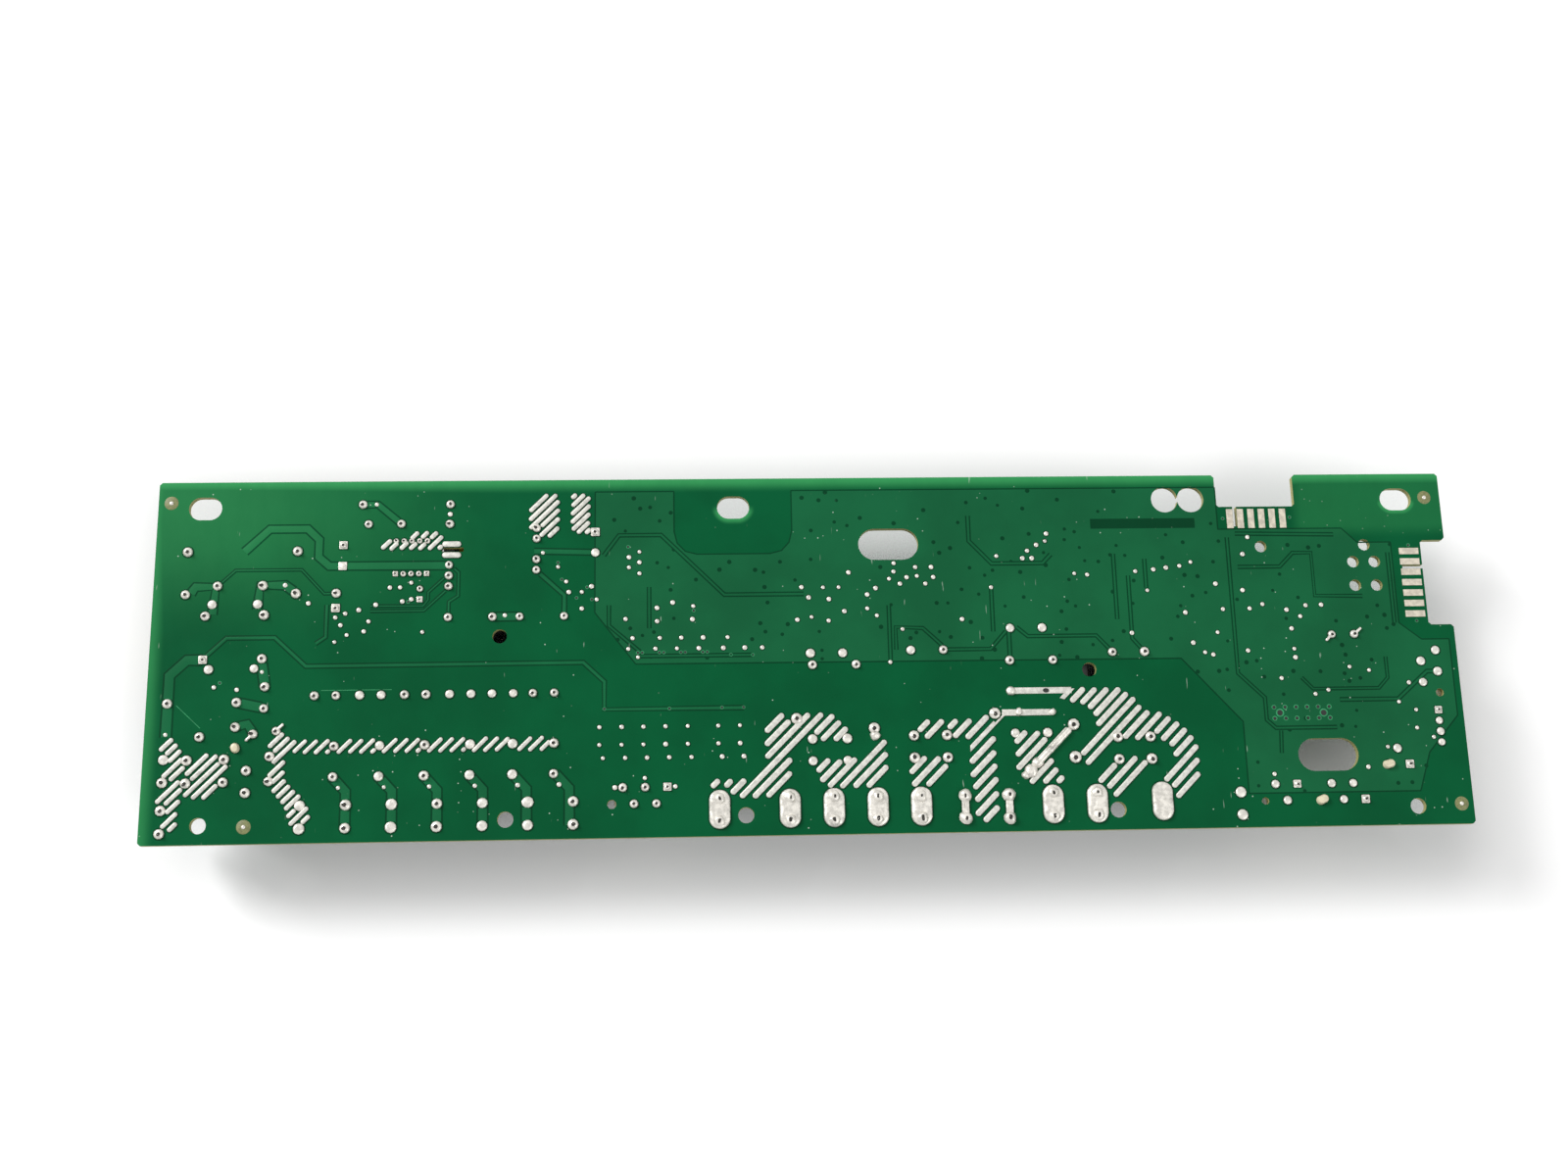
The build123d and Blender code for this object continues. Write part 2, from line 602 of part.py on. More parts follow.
oven_fields = [
    ([
        (5.4, 11.0), (10.7, 11.0), (10.7, 8.6), (20.2, 8.6), (24.2, 12.6), (24.2, 18.6),
        (28.2, 22.6), (30.6, 21.2), (35.7, 21.2), (37.8, 23.3), (33.7, 27.4), (18.6, 27.4),
        (18.6, 15.9), (15.3, 12.6), (5.4, 12.6),
    ], -4.7, 2.95),
    ([
        (30.1, 13.0), (31.2, 11.4), (33.0, 10.5), (42.8, 10.5), (46.0, 13.7), (46.0, 21.0),
        (44.7, 21.0), (40.6, 16.9), (31.4, 16.9), (30.1, 15.6),
    ], 16.0, 2.96),
    ([
        (53.0, 21.4), (64.2, 21.4), (65.0, 20.6), (65.0, 2.4), (69.2, 2.4), (71.9, 5.1),
        (71.9, 10.4), (70.7, 11.6), (70.7, 22.9), (74.0, 26.2), (69.8, 27.0), (68.3, 25.5),
        (54.6, 25.5), (51.4, 22.3),
    ], 30.4, 3.16),
    ([
        (51.2, 10.3), (56.3, 10.3), (60.2, 14.2), (58.9, 17.0), (53.1, 17.0), (51.2, 15.1),
    ], 37.7, 3.3),
    ([
        (75.5, 13.6), (77.4, 12.6), (79.4, 9.4), (80.6, 10.9), (86.0, 10.9), (86.0, 12.4),
        (84.0, 14.6), (83.4, 17.3), (89.6, 23.5), (88.5, 25.5), (85.6, 22.6), (75.5, 22.6),
    ], 55.4, 3.05),
    ([
        (86.0, 30.3), (88.2, 29.5), (91.2, 28.9), (94.0, 26.6), (94.6, 22.6), (89.6, 17.6),
        (91.3, 16.4), (104.2, 29.3), (100.2, 32.4), (87.6, 32.4), (86.0, 30.8),
    ], 56.6, 2.8),
    ([
        (91.2, 16.3), (91.4, 14.6), (92.6, 14.6), (98.4, 20.4), (109.3, 20.4), (111.2, 18.6),
        (112.1, 15.3), (107.9, 11.1), (108.4, 10.2), (111.2, 9.5), (111.5, 6.8), (112.9, 6.7),
        (117.2, 11.0), (117.2, 19.6), (114.9, 22.8), (109.8, 26.6), (106.3, 26.6), (104.4, 28.4),
        (103.3, 28.2),
    ], 76.5, 3.12),
    ([
        (93.3, 11.6), (95.6, 9.2), (97.6, 7.4), (98.7, 7.3), (107.3, 15.9), (106.0, 16.4),
        (98.1, 16.4),
    ], 83.3, 3.25),
]
oven_bars = [((78.55, 27.0), 11.8), ((81.65, 32.05), 14.6)]
bus_field = ([(3.0, 19.9), (61.4, 19.9), (61.4, 22.95), (3.0, 22.95)], -17.1, 2.505)
spark_gap_pads = pair((bank_x + 37.1, isolation_slot_spot[1]), spark_gap_pitch)


def hatched(zone, fields, width):
    """The bare strips of each field: an outline, where its first strip crosses the front edge, and a pitch.

    The strips run at 45 degrees and stop short of the joints and pads.
    """
    strips = []
    for outline, first, pitch in fields:
        left, right = zone + min(x for x, y in outline), zone + max(x for x, y in outline)
        low, high = min(y for x, y in outline), max(y for x, y in outline)
        level = (low + high) / 2
        reach = (high - low) * sqrt(2) + 2 * width
        count = int((max(x - y for x, y in outline) - first) / pitch) + 1
        with BuildSketch(over) as windows:
            with Locations(*[(zone + first + i * pitch + level, level) for i in range(count)]):
                Rectangle(reach, width, rotation=45)
            with BuildLine():
                Polyline(*moved(zone, outline), close=True)
            make_face(mode=Mode.INTERSECT)
            for size in joint_sizes:
                near = [(x, y) for x, y, diameter in joints if diameter == size]
                near = [(x, y) for x, y in near if left - size < x < right + size]
                near = [(x, y) for x, y in near if low - size < y < high + size]
                clearing = size + 2 * solder_gap
                if near:
                    with Locations(*near):
                        Rectangle(clearing, clearing, rotation=45, mode=Mode.SUBTRACT)
            pads = [*oven_tabs, spare_pad, *slim_tabs]
            pads = [(x, y) for x, y in pads if left - pad_width < x < right + pad_width]
            if pads:
                with Locations(*pads):
                    Rectangle(pad_width + 2 * solder_gap, pad_length + 2 * solder_gap, mode=Mode.SUBTRACT)
        strips += windows.sketch.faces().filter_by(lambda face: face.area > least_strip_area)
    return strips


supply_strips = hatched(bank_x, supply_fields, strip_width)
mains_strips = hatched(0, mains_fields, strip_width)
bank_strips = hatched(bank_x, [bus_field], bus_strip_width)
oven_strips = hatched(oven_x, oven_fields, strip_width)

with BuildPart() as supply_tinning:
    extrude(supply_strips, amount=strip_height, clean=False)
    with BuildSketch(over):
        with Locations(*spark_gap_pads):
            Rectangle(spark_gap_pad_length, spark_gap_pad_width)
    extrude(amount=strip_height, clean=False)
pieces["supply_tinning"] = supply_tinning.part

with BuildPart() as mains_tinning:
    extrude(mains_strips, amount=strip_height, clean=False)
pieces["mains_tinning"] = mains_tinning.part

with BuildPart() as bank_tinning:
    extrude(bank_strips, amount=strip_height, clean=False)
pieces["bank_tinning"] = bank_tinning.part

with BuildPart() as oven_tinning:
    extrude(oven_strips, amount=strip_height, clean=False)
    with BuildSketch(over):
        for (x, y), length in oven_bars:
            with Locations((oven_x + x, y)):
                Rectangle(length, bar_width)
    extrude(amount=strip_height, clean=False)
pieces["oven_tinning"] = oven_tinning.part


# ---------------------------------------------------------------- relays
def relay(spot, width, length, height):
    """A sealed relay case on two rails, with the seam between its base and its cover."""
    with BuildPart() as case:
        with BuildSketch(under.offset(-height)) as cover:
            with Locations(spot):
                Rectangle(width, length)
            chamfer(cover.vertices(), case_bevel)
        extrude(amount=height - case_standoff - base_height)
        chamfer(case.faces().sort_by(Axis.Z)[0].edges(), case_crown)
        with BuildSketch(under.offset(-case_standoff - base_height)):
            with Locations(spot):
                Rectangle(width - 2 * case_seam, length - 2 * case_seam)
        extrude(amount=base_height)
        with BuildSketch(under.offset(-case_standoff)):
            with Locations(spot):
                with GridLocations(0, length - 2 * standoff_width, 1, 2):
                    Rectangle(width - 2 * standoff_width, standoff_width)
        extrude(amount=case_standoff)
    return case.part


for i, spot in enumerate(slim_relay_spots):
    pieces[f"slim_relay_{i + 1}"] = relay(spot, slim_relay_width, slim_relay_length, slim_relay_height)
for i, spot in enumerate(oven_relay_spots):
    pieces[f"oven_relay_{i + 1}"] = relay(spot, oven_relay_width, oven_relay_length, oven_relay_height)
for i, spot in enumerate(power_relay_spots):
    pieces[f"power_relay_{i + 1}"] = relay(spot, power_relay_width, power_relay_length, power_relay_height)


# ---------------------------------------------------------------- tab terminals
def tab_rows(spots, width):
    """Upright blades with two legs and a shoulder, a pointed tip and an eye."""
    with BuildPart() as row:
        for x, y in spots:
            middle = (board_corner[0] + x - tab_thickness / 2, board_corner[1] + y, component_face)
            with BuildSketch(Plane(origin=middle, x_dir=(0, 1, 0), z_dir=(1, 0, 0))):
                with BuildLine():
                    Polyline(
                        (-width / 2, -tab_shoulder),
                        (-width / 2, tab_tip - tab_height),
                        (tab_tip - width / 2, -tab_height),
                        (width / 2 - tab_tip, -tab_height),
                        (width / 2, tab_tip - tab_height),
                        (width / 2, -tab_shoulder),
                        close=True,
                    )
                make_face()
                leg_pitch = tab_leg_pitch - (tab_width - width)
                with Locations((-leg_pitch / 2, -tab_shoulder / 2), (leg_pitch / 2, -tab_shoulder / 2)):
                    Rectangle(tab_leg_width, tab_shoulder)
            extrude(amount=tab_thickness)
    return row.part


pieces["tab_terminals"] = tab_rows([*mains_tabs, *bank_tabs, *oven_tabs, earth_tab], tab_width)
pieces["slim_tab_terminals"] = tab_rows(slim_tabs, slim_tab_width)


# ---------------------------------------------------------------- capacitors, discs and small parts
def can(spot, diameter, height):
    """An upright can with a bevelled crown."""
    with BuildPart() as body:
        with BuildSketch(under):
            with Locations(spot):
                RegularPolygon(diameter / 2, side_count=can_sides)
        extrude(amount=-height)
        chamfer(body.faces().sort_by(Axis.Z)[0].edges(), can_bevel)
    return body.part


def box_capacitor(spot, size):
    """A potted film capacitor in a box with bevelled corners."""
    width, length, height = size
    with BuildPart() as body:
        with BuildSketch(under) as plan:
            with Locations(spot):
                Rectangle(width, length)
            chamfer(plan.vertices(), case_bevel)
        extrude(amount=-height)
        chamfer(body.faces().sort_by(Axis.Z)[0].edges(), case_crown / 2)
    return body.part


def disc(leads, size):
    """A dipped disc standing on edge on two wires."""
    diameter, thickness = size
    (x1, y1), (x2, y2) = leads
    level = component_face - disc_stand - diameter / 2
    centre = Vector(board_corner[0] + (x1 + x2) / 2, board_corner[1] + (y1 + y2) / 2, level)
    along = Vector(x2 - x1, y2 - y1, 0).normalized()
    face = Plane(origin=centre, x_dir=along, z_dir=along.cross(Vector(0, 0, 1)))
    with BuildPart() as body:
        with BuildSketch(face):
            RegularPolygon(diameter / 2, side_count=disc_sides)
        extrude(amount=thickness / 2, both=True)
        chamfer(body.faces().sort_by(SortBy.AREA)[-2:].edges(), thickness / 4)
        with BuildSketch(under):
            with Locations(*leads):
                Rectangle(wire_size, wire_size)
        extrude(amount=-disc_stand - diameter / 2)
    return body.part


pieces["bulk_can"] = can(bulk_can_spot, bulk_can_diameter, bulk_can_height)
pieces["second_can"] = can(second_can_spot, second_can_diameter, second_can_height)
pieces["bias_can"] = can(bias_can_spot, bias_can_diameter, bias_can_height)
pieces["output_can"] = can(output_can_spot, output_can_diameter, output_can_height)
pieces["memory_can"] = can(memory_can_spot, memory_can_diameter, memory_can_height)
pieces["fuse"] = can(fuse_spot, fuse_diameter, fuse_height)
pieces["line_capacitor"] = box_capacitor(line_capacitor_spot, line_capacitor_size)
pieces["surge_capacitor"] = box_capacitor(surge_capacitor_spot, surge_capacitor_size)
pieces["varistor"] = disc(varistor_leads, varistor_size)
pieces["thermistor"] = disc(thermistor_leads, thermistor_size)
pieces["feed_capacitor"] = disc(pair(feed_capacitor_spot, feed_capacitor_pitch), feed_capacitor_size)
pieces["snubber_disc"] = disc(pair(snubber_spot, snubber_pitch), snubber_size)
for side, spot, disc_spot in zip(("left", "right"), x_capacitor_spots, disc_spots):
    pieces[f"x_capacitor_{side}"] = box_capacitor(spot, x_capacitor_size)
    pieces[f"y_capacitor_{side}"] = disc(pair(disc_spot, disc_pitch, True), y_capacitor_size)

with BuildPart() as drum_choke:
    with BuildSketch(under):
        with Locations(drum_choke_spot):
            RegularPolygon(drum_winding_diameter / 2, side_count=can_sides)
    extrude(amount=-drum_height)
    with BuildSketch(under, under.offset(drum_flange - drum_height)):
        with Locations(drum_choke_spot):
            RegularPolygon(drum_diameter / 2, side_count=can_sides)
    extrude(amount=-drum_flange)
pieces["drum_choke"] = drum_choke.part

with BuildPart() as board_post:
    with BuildSketch(under):
        with Locations(screen_post_spot):
            RegularPolygon(post_diameter / 2, side_count=can_sides)
            Circle(post_hole_diameter / 2, mode=Mode.SUBTRACT)
    extrude(amount=-post_height)
pieces["board_post"] = board_post.part

# ---------------------------------------------------------------- mains filter choke
with BuildPart() as choke_core:
    with BuildSketch(under.offset(-choke_core_level - choke_leg[1] / 2)):
        with Locations(choke_middle):
            Rectangle(*choke_ring)
            Rectangle(choke_ring[0] - 2 * choke_leg[0], choke_ring[1] - 2 * choke_leg[0], mode=Mode.SUBTRACT)
    extrude(amount=choke_leg[1])
    chamfer(choke_core.edges().filter_by(Axis.Z).group_by(Axis.X)[0], 0.5)
    chamfer(choke_core.edges().filter_by(Axis.Z).group_by(Axis.X)[-1], 0.5)
pieces["choke_core"] = choke_core.part

with BuildPart() as choke_base:
    with BuildSketch(under):
        with Locations(choke_middle):
            Rectangle(choke_ring[0] + 2 * choke_base_margin, choke_ring[1] + 2 * choke_base_margin)
    extrude(amount=-choke_base_height)
    with BuildSketch(under.offset(-choke_base_height)):
        with Locations(choke_middle):
            with GridLocations(choke_ring[0] - choke_leg[0], 1, 2, 1):
                Rectangle(choke_leg[0], choke_ring[1])
    extrude(amount=choke_base_height + choke_leg[1] / 2 - choke_core_level)
pieces["choke_base"] = choke_base.part

with BuildPart() as choke_windings:
    leg_y = (choke_ring[1] - choke_leg[0]) / 2
    for side in (-1, 1):
        end_x = board_corner[0] + choke_middle[0] - choke_winding[0] / 2
        end_y = board_corner[1] + choke_middle[1] + side * leg_y
        end = (end_x, end_y, component_face - choke_core_level)
        with BuildSketch(Plane(origin=end, x_dir=(0, 1, 0), z_dir=(1, 0, 0))):
            turns = Rectangle(choke_winding[1], choke_winding[2])
            chamfer(turns.vertices(), winding_bevel)
            Rectangle(*choke_leg, mode=Mode.SUBTRACT)
        extrude(amount=choke_winding[0])
pieces["choke_windings"] = choke_windings.part

# ---------------------------------------------------------------- transformer
x, y = transformer_middle
heart = (board_corner[0] + x, board_corner[1] + y, component_face - core_level)
rail_height = core_level - core_size[2] / 2
flange_face = core_size[0] / 2 - core_wall - core_fit

with BuildPart() as transformer_core:
    with BuildSketch(Plane(origin=heart).offset(-core_size[2] / 2)):
        Rectangle(core_size[0], core_size[1])
        window = (core_size[1] - core_leg) / 2 - core_wall
        with GridLocations(1, core_leg + window, 1, 2):
            Rectangle(core_size[0] - 2 * core_wall, window, mode=Mode.SUBTRACT)
    extrude(amount=core_size[2])
    split(bisect_by=Plane(origin=heart, z_dir=(1, 0, 0)), keep=Keep.BOTH)
pieces["transformer_core"] = transformer_core.part

tube = (core_leg + 2 * (core_fit + bobbin_wall), core_size[2] + 2 * (core_fit + bobbin_wall))
with BuildPart() as transformer_bobbin:
    across = Plane(origin=heart, x_dir=(0, 1, 0), z_dir=(1, 0, 0))
    with BuildSketch(across):
        Rectangle(*tube)
    extrude(amount=flange_face, both=True)
    for side in (-1, 1):
        with BuildSketch(across.offset(side * (flange_face - flange_thickness / 2))):
            Rectangle(*flange_size)
        extrude(amount=flange_thickness / 2, both=True)
    with BuildSketch(across):
        Rectangle(core_leg + 2 * core_fit, core_size[2] + 2 * core_fit)
    extrude(amount=core_size[0] / 2, both=True, mode=Mode.SUBTRACT)
    with BuildSketch(under):
        with Locations(transformer_middle):
            with GridLocations(2 * flange_face + rail_width, 1, 2, 1):
                Rectangle(rail_width, core_size[1])
    extrude(amount=-rail_height)
pieces["transformer_bobbin"] = transformer_bobbin.part

with BuildPart() as transformer_winding:
    with BuildSketch(across):
        turns = Rectangle(tube[0] + 2 * winding_thickness, tube[1] + 2 * winding_thickness)
        chamfer(turns.vertices(), winding_bevel)
        Rectangle(*tube, mode=Mode.SUBTRACT)
    extrude(amount=flange_face - flange_thickness, both=True)
pieces["transformer_winding"] = transformer_winding.part


# ---------------------------------------------------------------- pin headers
def header(spot, ways, depth, upright=False):
    """An open shroud with its floor against the board and a key slot down both sides."""
    length = ways * header_pitch + header_margin
    size = (depth, length) if upright else (length, depth)
    with BuildPart() as shroud:
        with BuildSketch(under):
            with Locations(spot):
                Rectangle(*size)
        extrude(amount=-header_height)
        with BuildSketch(under.offset(-header_floor)):
            with Locations(spot):
                Rectangle(size[0] - 2 * header_wall, size[1] - 2 * header_wall)
        extrude(amount=header_floor - header_height, mode=Mode.SUBTRACT)
        with BuildSketch(under.offset(-header_height)):
            with Locations(spot):
                if upright:
                    Rectangle(size[0] + 1, header_key)
                else:
                    Rectangle(header_key, size[1] + 1)
        extrude(amount=header_key, mode=Mode.SUBTRACT)
    return shroud.part


for name, spot, ways, first_row in front_headers:
    pieces[name] = header(spot, ways, header_depth)
pieces["probe_header"] = header(side_header_spot, side_header_ways, header_depth, True)
pieces["data_header"] = header(data_header_spot, data_header_ways, data_header_depth, True)

with BuildPart() as header_pins:
    with BuildSketch(under.offset(-header_floor)):
        with Locations(*header_leads):
            Rectangle(pin_size, pin_size)
    extrude(amount=-pin_reach, clean=False)
pieces["header_pins"] = header_pins.part


# ---------------------------------------------------------------- chips
def chips(spots, size, leads, lead_reach, turn=0):
    """Moulded chips with bent leads along two sides; a fine-pitch row of leads is one bar."""
    length, width, height = size
    lead_count, lead_pitch, lead_width = leads
    with BuildPart() as bodies:
        for x, y in spots:
            seat = Plane(under * Location((x, y, 0), (0, 0, turn)))
            with BuildSketch(seat.offset(-chip_standoff)):
                Rectangle(length, width)
            extrude(amount=-height)
            with BuildSketch(seat):
                with GridLocations(lead_pitch, width + lead_reach, lead_count, 2):
                    Rectangle(lead_width, lead_reach)
            extrude(amount=-chip_standoff - height / 2)
        chamfer(bodies.faces().group_by(Axis.Z)[0].edges(), chip_bevel)
    return bodies.part


driver_spots = moved(signal_x, [(11.5, 49.5), (28.0, 49.5)])
optocoupler_spots = moved(bank_x, [(64.0, 59.7), (68.6, 52.2)])
pieces["switcher_chip"] = chips([switcher_middle], switcher_size, (5, switcher_pitch, 0.7), 0.5)
pieces["microcontroller"] = chips([(oven_x + 46.0, 54.5)], controller_size, (1, 1, 9.0), 0.8)
pieces["relay_drivers"] = chips(driver_spots, driver_size, (1, 1, 9.4), 1.0)
pieces["optocouplers"] = chips(optocoupler_spots, optocoupler_size, (2, 2.54, 1.0), 0.5)
pieces["bridge_rectifier"] = chips([(bank_x + 19.3, 49.6)], bridge_size, (2, 5.1, 1.6), 0.6, 90)

with BuildPart() as chip_resistors:
    with BuildSketch(under):
        with Locations(*moved(signal_x, [(x, driver_resistor_row) for x in driver_columns])):
            Rectangle(*resistor_size)
    extrude(amount=-resistor_height, clean=False)
pieces["chip_resistors"] = chip_resistors.part

for label, piece in pieces.items():
    piece.label = label
    export_step(piece, f"parts/{label}.step")
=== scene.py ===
"""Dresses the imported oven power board: solder mask, copper, joints, tinned strips and the parts under it."""

import math
import random

import bmesh
import bpy
from bpy.props import FloatProperty, FloatVectorProperty, IntProperty, PointerProperty
from mathutils import Matrix, Vector, noise


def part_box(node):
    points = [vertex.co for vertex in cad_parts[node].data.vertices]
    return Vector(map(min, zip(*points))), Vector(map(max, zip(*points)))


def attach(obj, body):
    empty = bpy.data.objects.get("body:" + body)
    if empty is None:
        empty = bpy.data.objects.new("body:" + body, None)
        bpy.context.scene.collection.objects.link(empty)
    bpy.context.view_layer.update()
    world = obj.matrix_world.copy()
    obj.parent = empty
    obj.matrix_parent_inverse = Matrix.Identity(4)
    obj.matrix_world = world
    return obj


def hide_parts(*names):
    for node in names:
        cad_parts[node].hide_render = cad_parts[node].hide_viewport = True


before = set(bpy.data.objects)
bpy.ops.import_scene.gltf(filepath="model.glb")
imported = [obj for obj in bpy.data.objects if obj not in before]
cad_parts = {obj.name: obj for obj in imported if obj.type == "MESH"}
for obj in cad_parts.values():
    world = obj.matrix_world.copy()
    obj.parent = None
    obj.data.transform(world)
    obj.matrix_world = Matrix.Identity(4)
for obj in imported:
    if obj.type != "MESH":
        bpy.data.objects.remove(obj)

bl_info = {
    "name": "Oven power board",
    "version": (1, 0, 0),
    "blender": (4, 5, 0),
    "location": "View3D > Sidebar > Power board",
    "description": "Solder mask, copper, solder and components of a built-in oven's power board",
    "category": "Object",
}

MM = 0.001
# Two points nearer than this, in metres, are one
SAME = 1e-6
# The crumpled solder takes its noise from here, so that each run gives the same shapes
NOISE_SEED = 1
LOW, HIGH = (Vector(corner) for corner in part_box("circuit_board"))


def at(x, y, z=0.0):
    """A place over the solder face, in millimetres from the board's lower left corner."""
    return Vector((LOW.x + x * MM, LOW.y + y * MM, HIGH.z + z * MM))


# ---------------------------------------------------------------- materials
class Value:
    """A number or colour inside a node tree; sums written with it become Math nodes."""

    def __init__(self, nodes, socket):
        self.nodes = nodes
        self.socket = socket

    def maths(self, operation, *others):
        """The result of one Math node on this value and the others."""
        return self.nodes.node("ShaderNodeMath", dict(enumerate((self, *others))), operation=operation)

    def __add__(self, other):
        return self.maths("ADD", other)

    def __sub__(self, other):
        return self.maths("SUBTRACT", other)

    def __rsub__(self, other):
        return self.nodes.node("ShaderNodeMath", {0: other, 1: self}, operation="SUBTRACT")

    def __mul__(self, other):
        return self.maths("MULTIPLY", other)

    def __pow__(self, other):
        return self.maths("POWER", other)

    __radd__ = __add__
    __rmul__ = __mul__

    def rising(self, start, end):
        """0 below start and 1 above end, with a smooth step between; end may be the lower one."""
        values = {"Value": self, "From Min": start, "From Max": end}
        return self.nodes.node("ShaderNodeMapRange", values, interpolation_type="SMOOTHSTEP")

    def most(self, other):
        """The larger of two values."""
        return self.maths("MAXIMUM", other)


class Nodes:
    """The node tree of a material or of the world, round its one shader."""

    def __init__(self, owner, shader):
        owner.use_nodes = True
        self.tree = owner.node_tree
        self.shader = self.tree.nodes[shader]

    def node(self, kind, values=None, output=0, **settings):
        """Adds a node with its settings, then its values or links, and gives one of its outputs."""
        made = self.tree.nodes.new(kind)
        for label, setting in settings.items():
            setattr(made, label, setting)
        for label, given in (values or {}).items():
            if isinstance(given, Value):
                self.tree.links.new(given.socket, made.inputs[label])
            else:
                made.inputs[label].default_value = given
        return Value(self, made.outputs[output])

    def parts(self, value, labels):
        """Several outputs of the node that gives a value."""
        return [Value(self, value.socket.node.outputs[label]) for label in labels]

    def set(self, label, value):
        """Links a value to a socket of the shader."""
        self.tree.links.new(value.socket, self.shader.inputs[label])

    def seen(self):
        """1 for the camera's own rays, and 1 for those and the rays that metal and glass send on."""
        rays = [f"Is {kind} Ray" for kind in ("Camera", "Glossy", "Transmission")]
        camera, glossy, through = self.parts(self.node("ShaderNodeLightPath"), rays)
        return camera, camera.most(glossy).most(through)


class Finish(Nodes):
    """A material on one Principled shader, read in metres from the object's own origin."""

    def __init__(self, name, colour, roughness, metallic=0.0, **fixed):
        self.material = bpy.data.materials.new(name)
        super().__init__(self.material, "Principled BSDF")
        settings = {"metallic": metallic, "base_color": (*colour, 1.0), "roughness": roughness, **fixed}
        for label, setting in settings.items():
            self.shader.inputs[label.replace("_", " ").title().replace("Ior", "IOR")].default_value = setting

    def place(self):
        """Object coordinates."""
        return self.node("ShaderNodeTexCoord", output="Object")

    def axes(self):
        """Object coordinates as three numbers."""
        return self.parts(self.node("ShaderNodeSeparateXYZ", {0: self.place()}), range(3))

    def grain(self, scale, detail=3.0, roughness=0.55, stretch=(1.0, 1.0, 1.0)):
        """Noise of about 0.5, its features 1/scale metres across and longer where stretch is small."""
        where = self.node("ShaderNodeMapping", {"Vector": self.place(), "Scale": stretch})
        values = {"Vector": where, "Scale": scale, "Detail": detail, "Roughness": roughness}
        return self.node("ShaderNodeTexNoise", values)

    def specks(self, scale, size):
        """1 inside sparse round specks, 0 elsewhere."""
        values = {"Vector": self.place(), "Scale": scale}
        return self.node("ShaderNodeTexVoronoi", values).rising(size, size * 0.5)

    def mix(self, share, first, second):
        """A colour between two colours."""
        ends = [(*end, 1.0) if isinstance(end, tuple) else end for end in (first, second)]
        return self.node("ShaderNodeMix", {0: share, 6: ends[0], 7: ends[1]}, output=2, data_type="RGBA")

    def bump(self, height, depth):
        """Raises the surface by a height, whose full depth is in millimetres."""
        values = {"Height": height, "Distance": depth * MM, "Strength": 1.0}
        self.set("Normal", self.node("ShaderNodeBump", values))


def shaded(colour, factor):
    """A colour made darker or lighter."""
    return tuple(min(1.0, channel * factor) for channel in colour)


def mottled(name, colour, roughness, metallic=0.0, scale=600.0, spread=0.25, depth=0.02, fine=6.0, **fixed):
    """A plain finish with cloudy colour, uneven gloss and a fine grain."""
    finish = Finish(name, colour, roughness, metallic, **fixed)
    cloud = finish.grain(scale)
    dark, light = shaded(colour, 1 - spread), shaded(colour, 1 + spread)
    finish.set("Base Color", finish.mix(cloud.rising(0.3, 0.7), dark, light))
    tooth = finish.grain(scale * fine)
    finish.set("Roughness", (cloud + tooth) * (roughness * 0.6) + roughness * 0.4)
    finish.bump(tooth, depth)
    return finish.material


def mask_finish(name, colours, edge_colour=None):
    """Solder mask over the weave of the laminate, with light through the laminate painted in: a glow colour
    near the back and left edges, over the upper left corner, at the top right and beside two slots.
    """
    base, glow = colours
    finish = Finish(name, base, 0.42, specular_ior_level=0.065)
    x, y, z = finish.axes()
    cloud = finish.grain(45.0, 4.0)
    haze = finish.grain(260.0, 5.0, 0.65, (1.0, 0.35, 1.0))
    colour = finish.mix(cloud.rising(0.3, 0.7), shaded(base, 0.9), shaded(base, 1.12))
    # Painted light: where light seems to come through the laminate, the mask takes the glow colour
    back = y.rising(HIGH.y - 3.4 * MM, HIGH.y - 0.1 * MM)
    left = x.rising(LOW.x + 3.5 * MM, LOW.x) * 0.6
    corner = x.rising(LOW.x + 85 * MM, LOW.x + 5 * MM) * y.rising(HIGH.y - 40 * MM, HIGH.y - 6 * MM) * 0.45
    tab = x.rising(HIGH.x - 37 * MM, HIGH.x - 33 * MM) * y.rising(HIGH.y - 16 * MM, HIGH.y - 12 * MM) * 0.26
    lit = back.most(left).most(corner).most(tab)
    for middle, half, radius in GLOWING_SLOTS:
        along = ((x - at(*middle).x).maths("ABSOLUTE") - half * MM).most(0.0)
        across = y - at(*middle).y
        rim = (along ** 2 + across * across) ** 0.5 - radius * MM
        lit = lit.most(rim.rising(1.5 * MM, 0.1 * MM) * across.rising(0.8 * MM, -1.6 * MM) * 0.9)
    colour = finish.mix(lit * (haze * 0.3 + 0.85), colour, glow)
    residue = finish.specks(430.0, 0.085) * finish.grain(80.0).rising(0.5, 0.58)
    hair = finish.grain(1100.0, 2.0, 0.5, (1.0, 0.14, 1.0)).rising(0.74, 0.79)
    colour = finish.mix(residue.most(hair * 0.5) * 0.9, colour, (0.50, 0.62, 0.52))
    if edge_colour:
        fibres = finish.grain(2500.0, 2.0, 0.5, (1.0, 1.0, 6.0))
        edge = finish.mix(fibres, shaded(edge_colour, 0.6), shaded(edge_colour, 1.25))
        wall = z.rising(LOW.z, LOW.z + 0.02 * MM) * z.rising(HIGH.z - 0.01 * MM, HIGH.z - 0.03 * MM)
        colour = finish.mix(wall, colour, edge)
    finish.set("Base Color", colour)
    finish.set("Roughness", haze * 0.25 + cloud * 0.12 + 0.2)
    weave = (x * (2 * math.pi / (0.9 * MM))).maths("SINE") * (y * (2 * math.pi / (0.7 * MM))).maths("SINE")
    finish.bump(weave * 0.2 + haze, 0.012)
    return finish.material


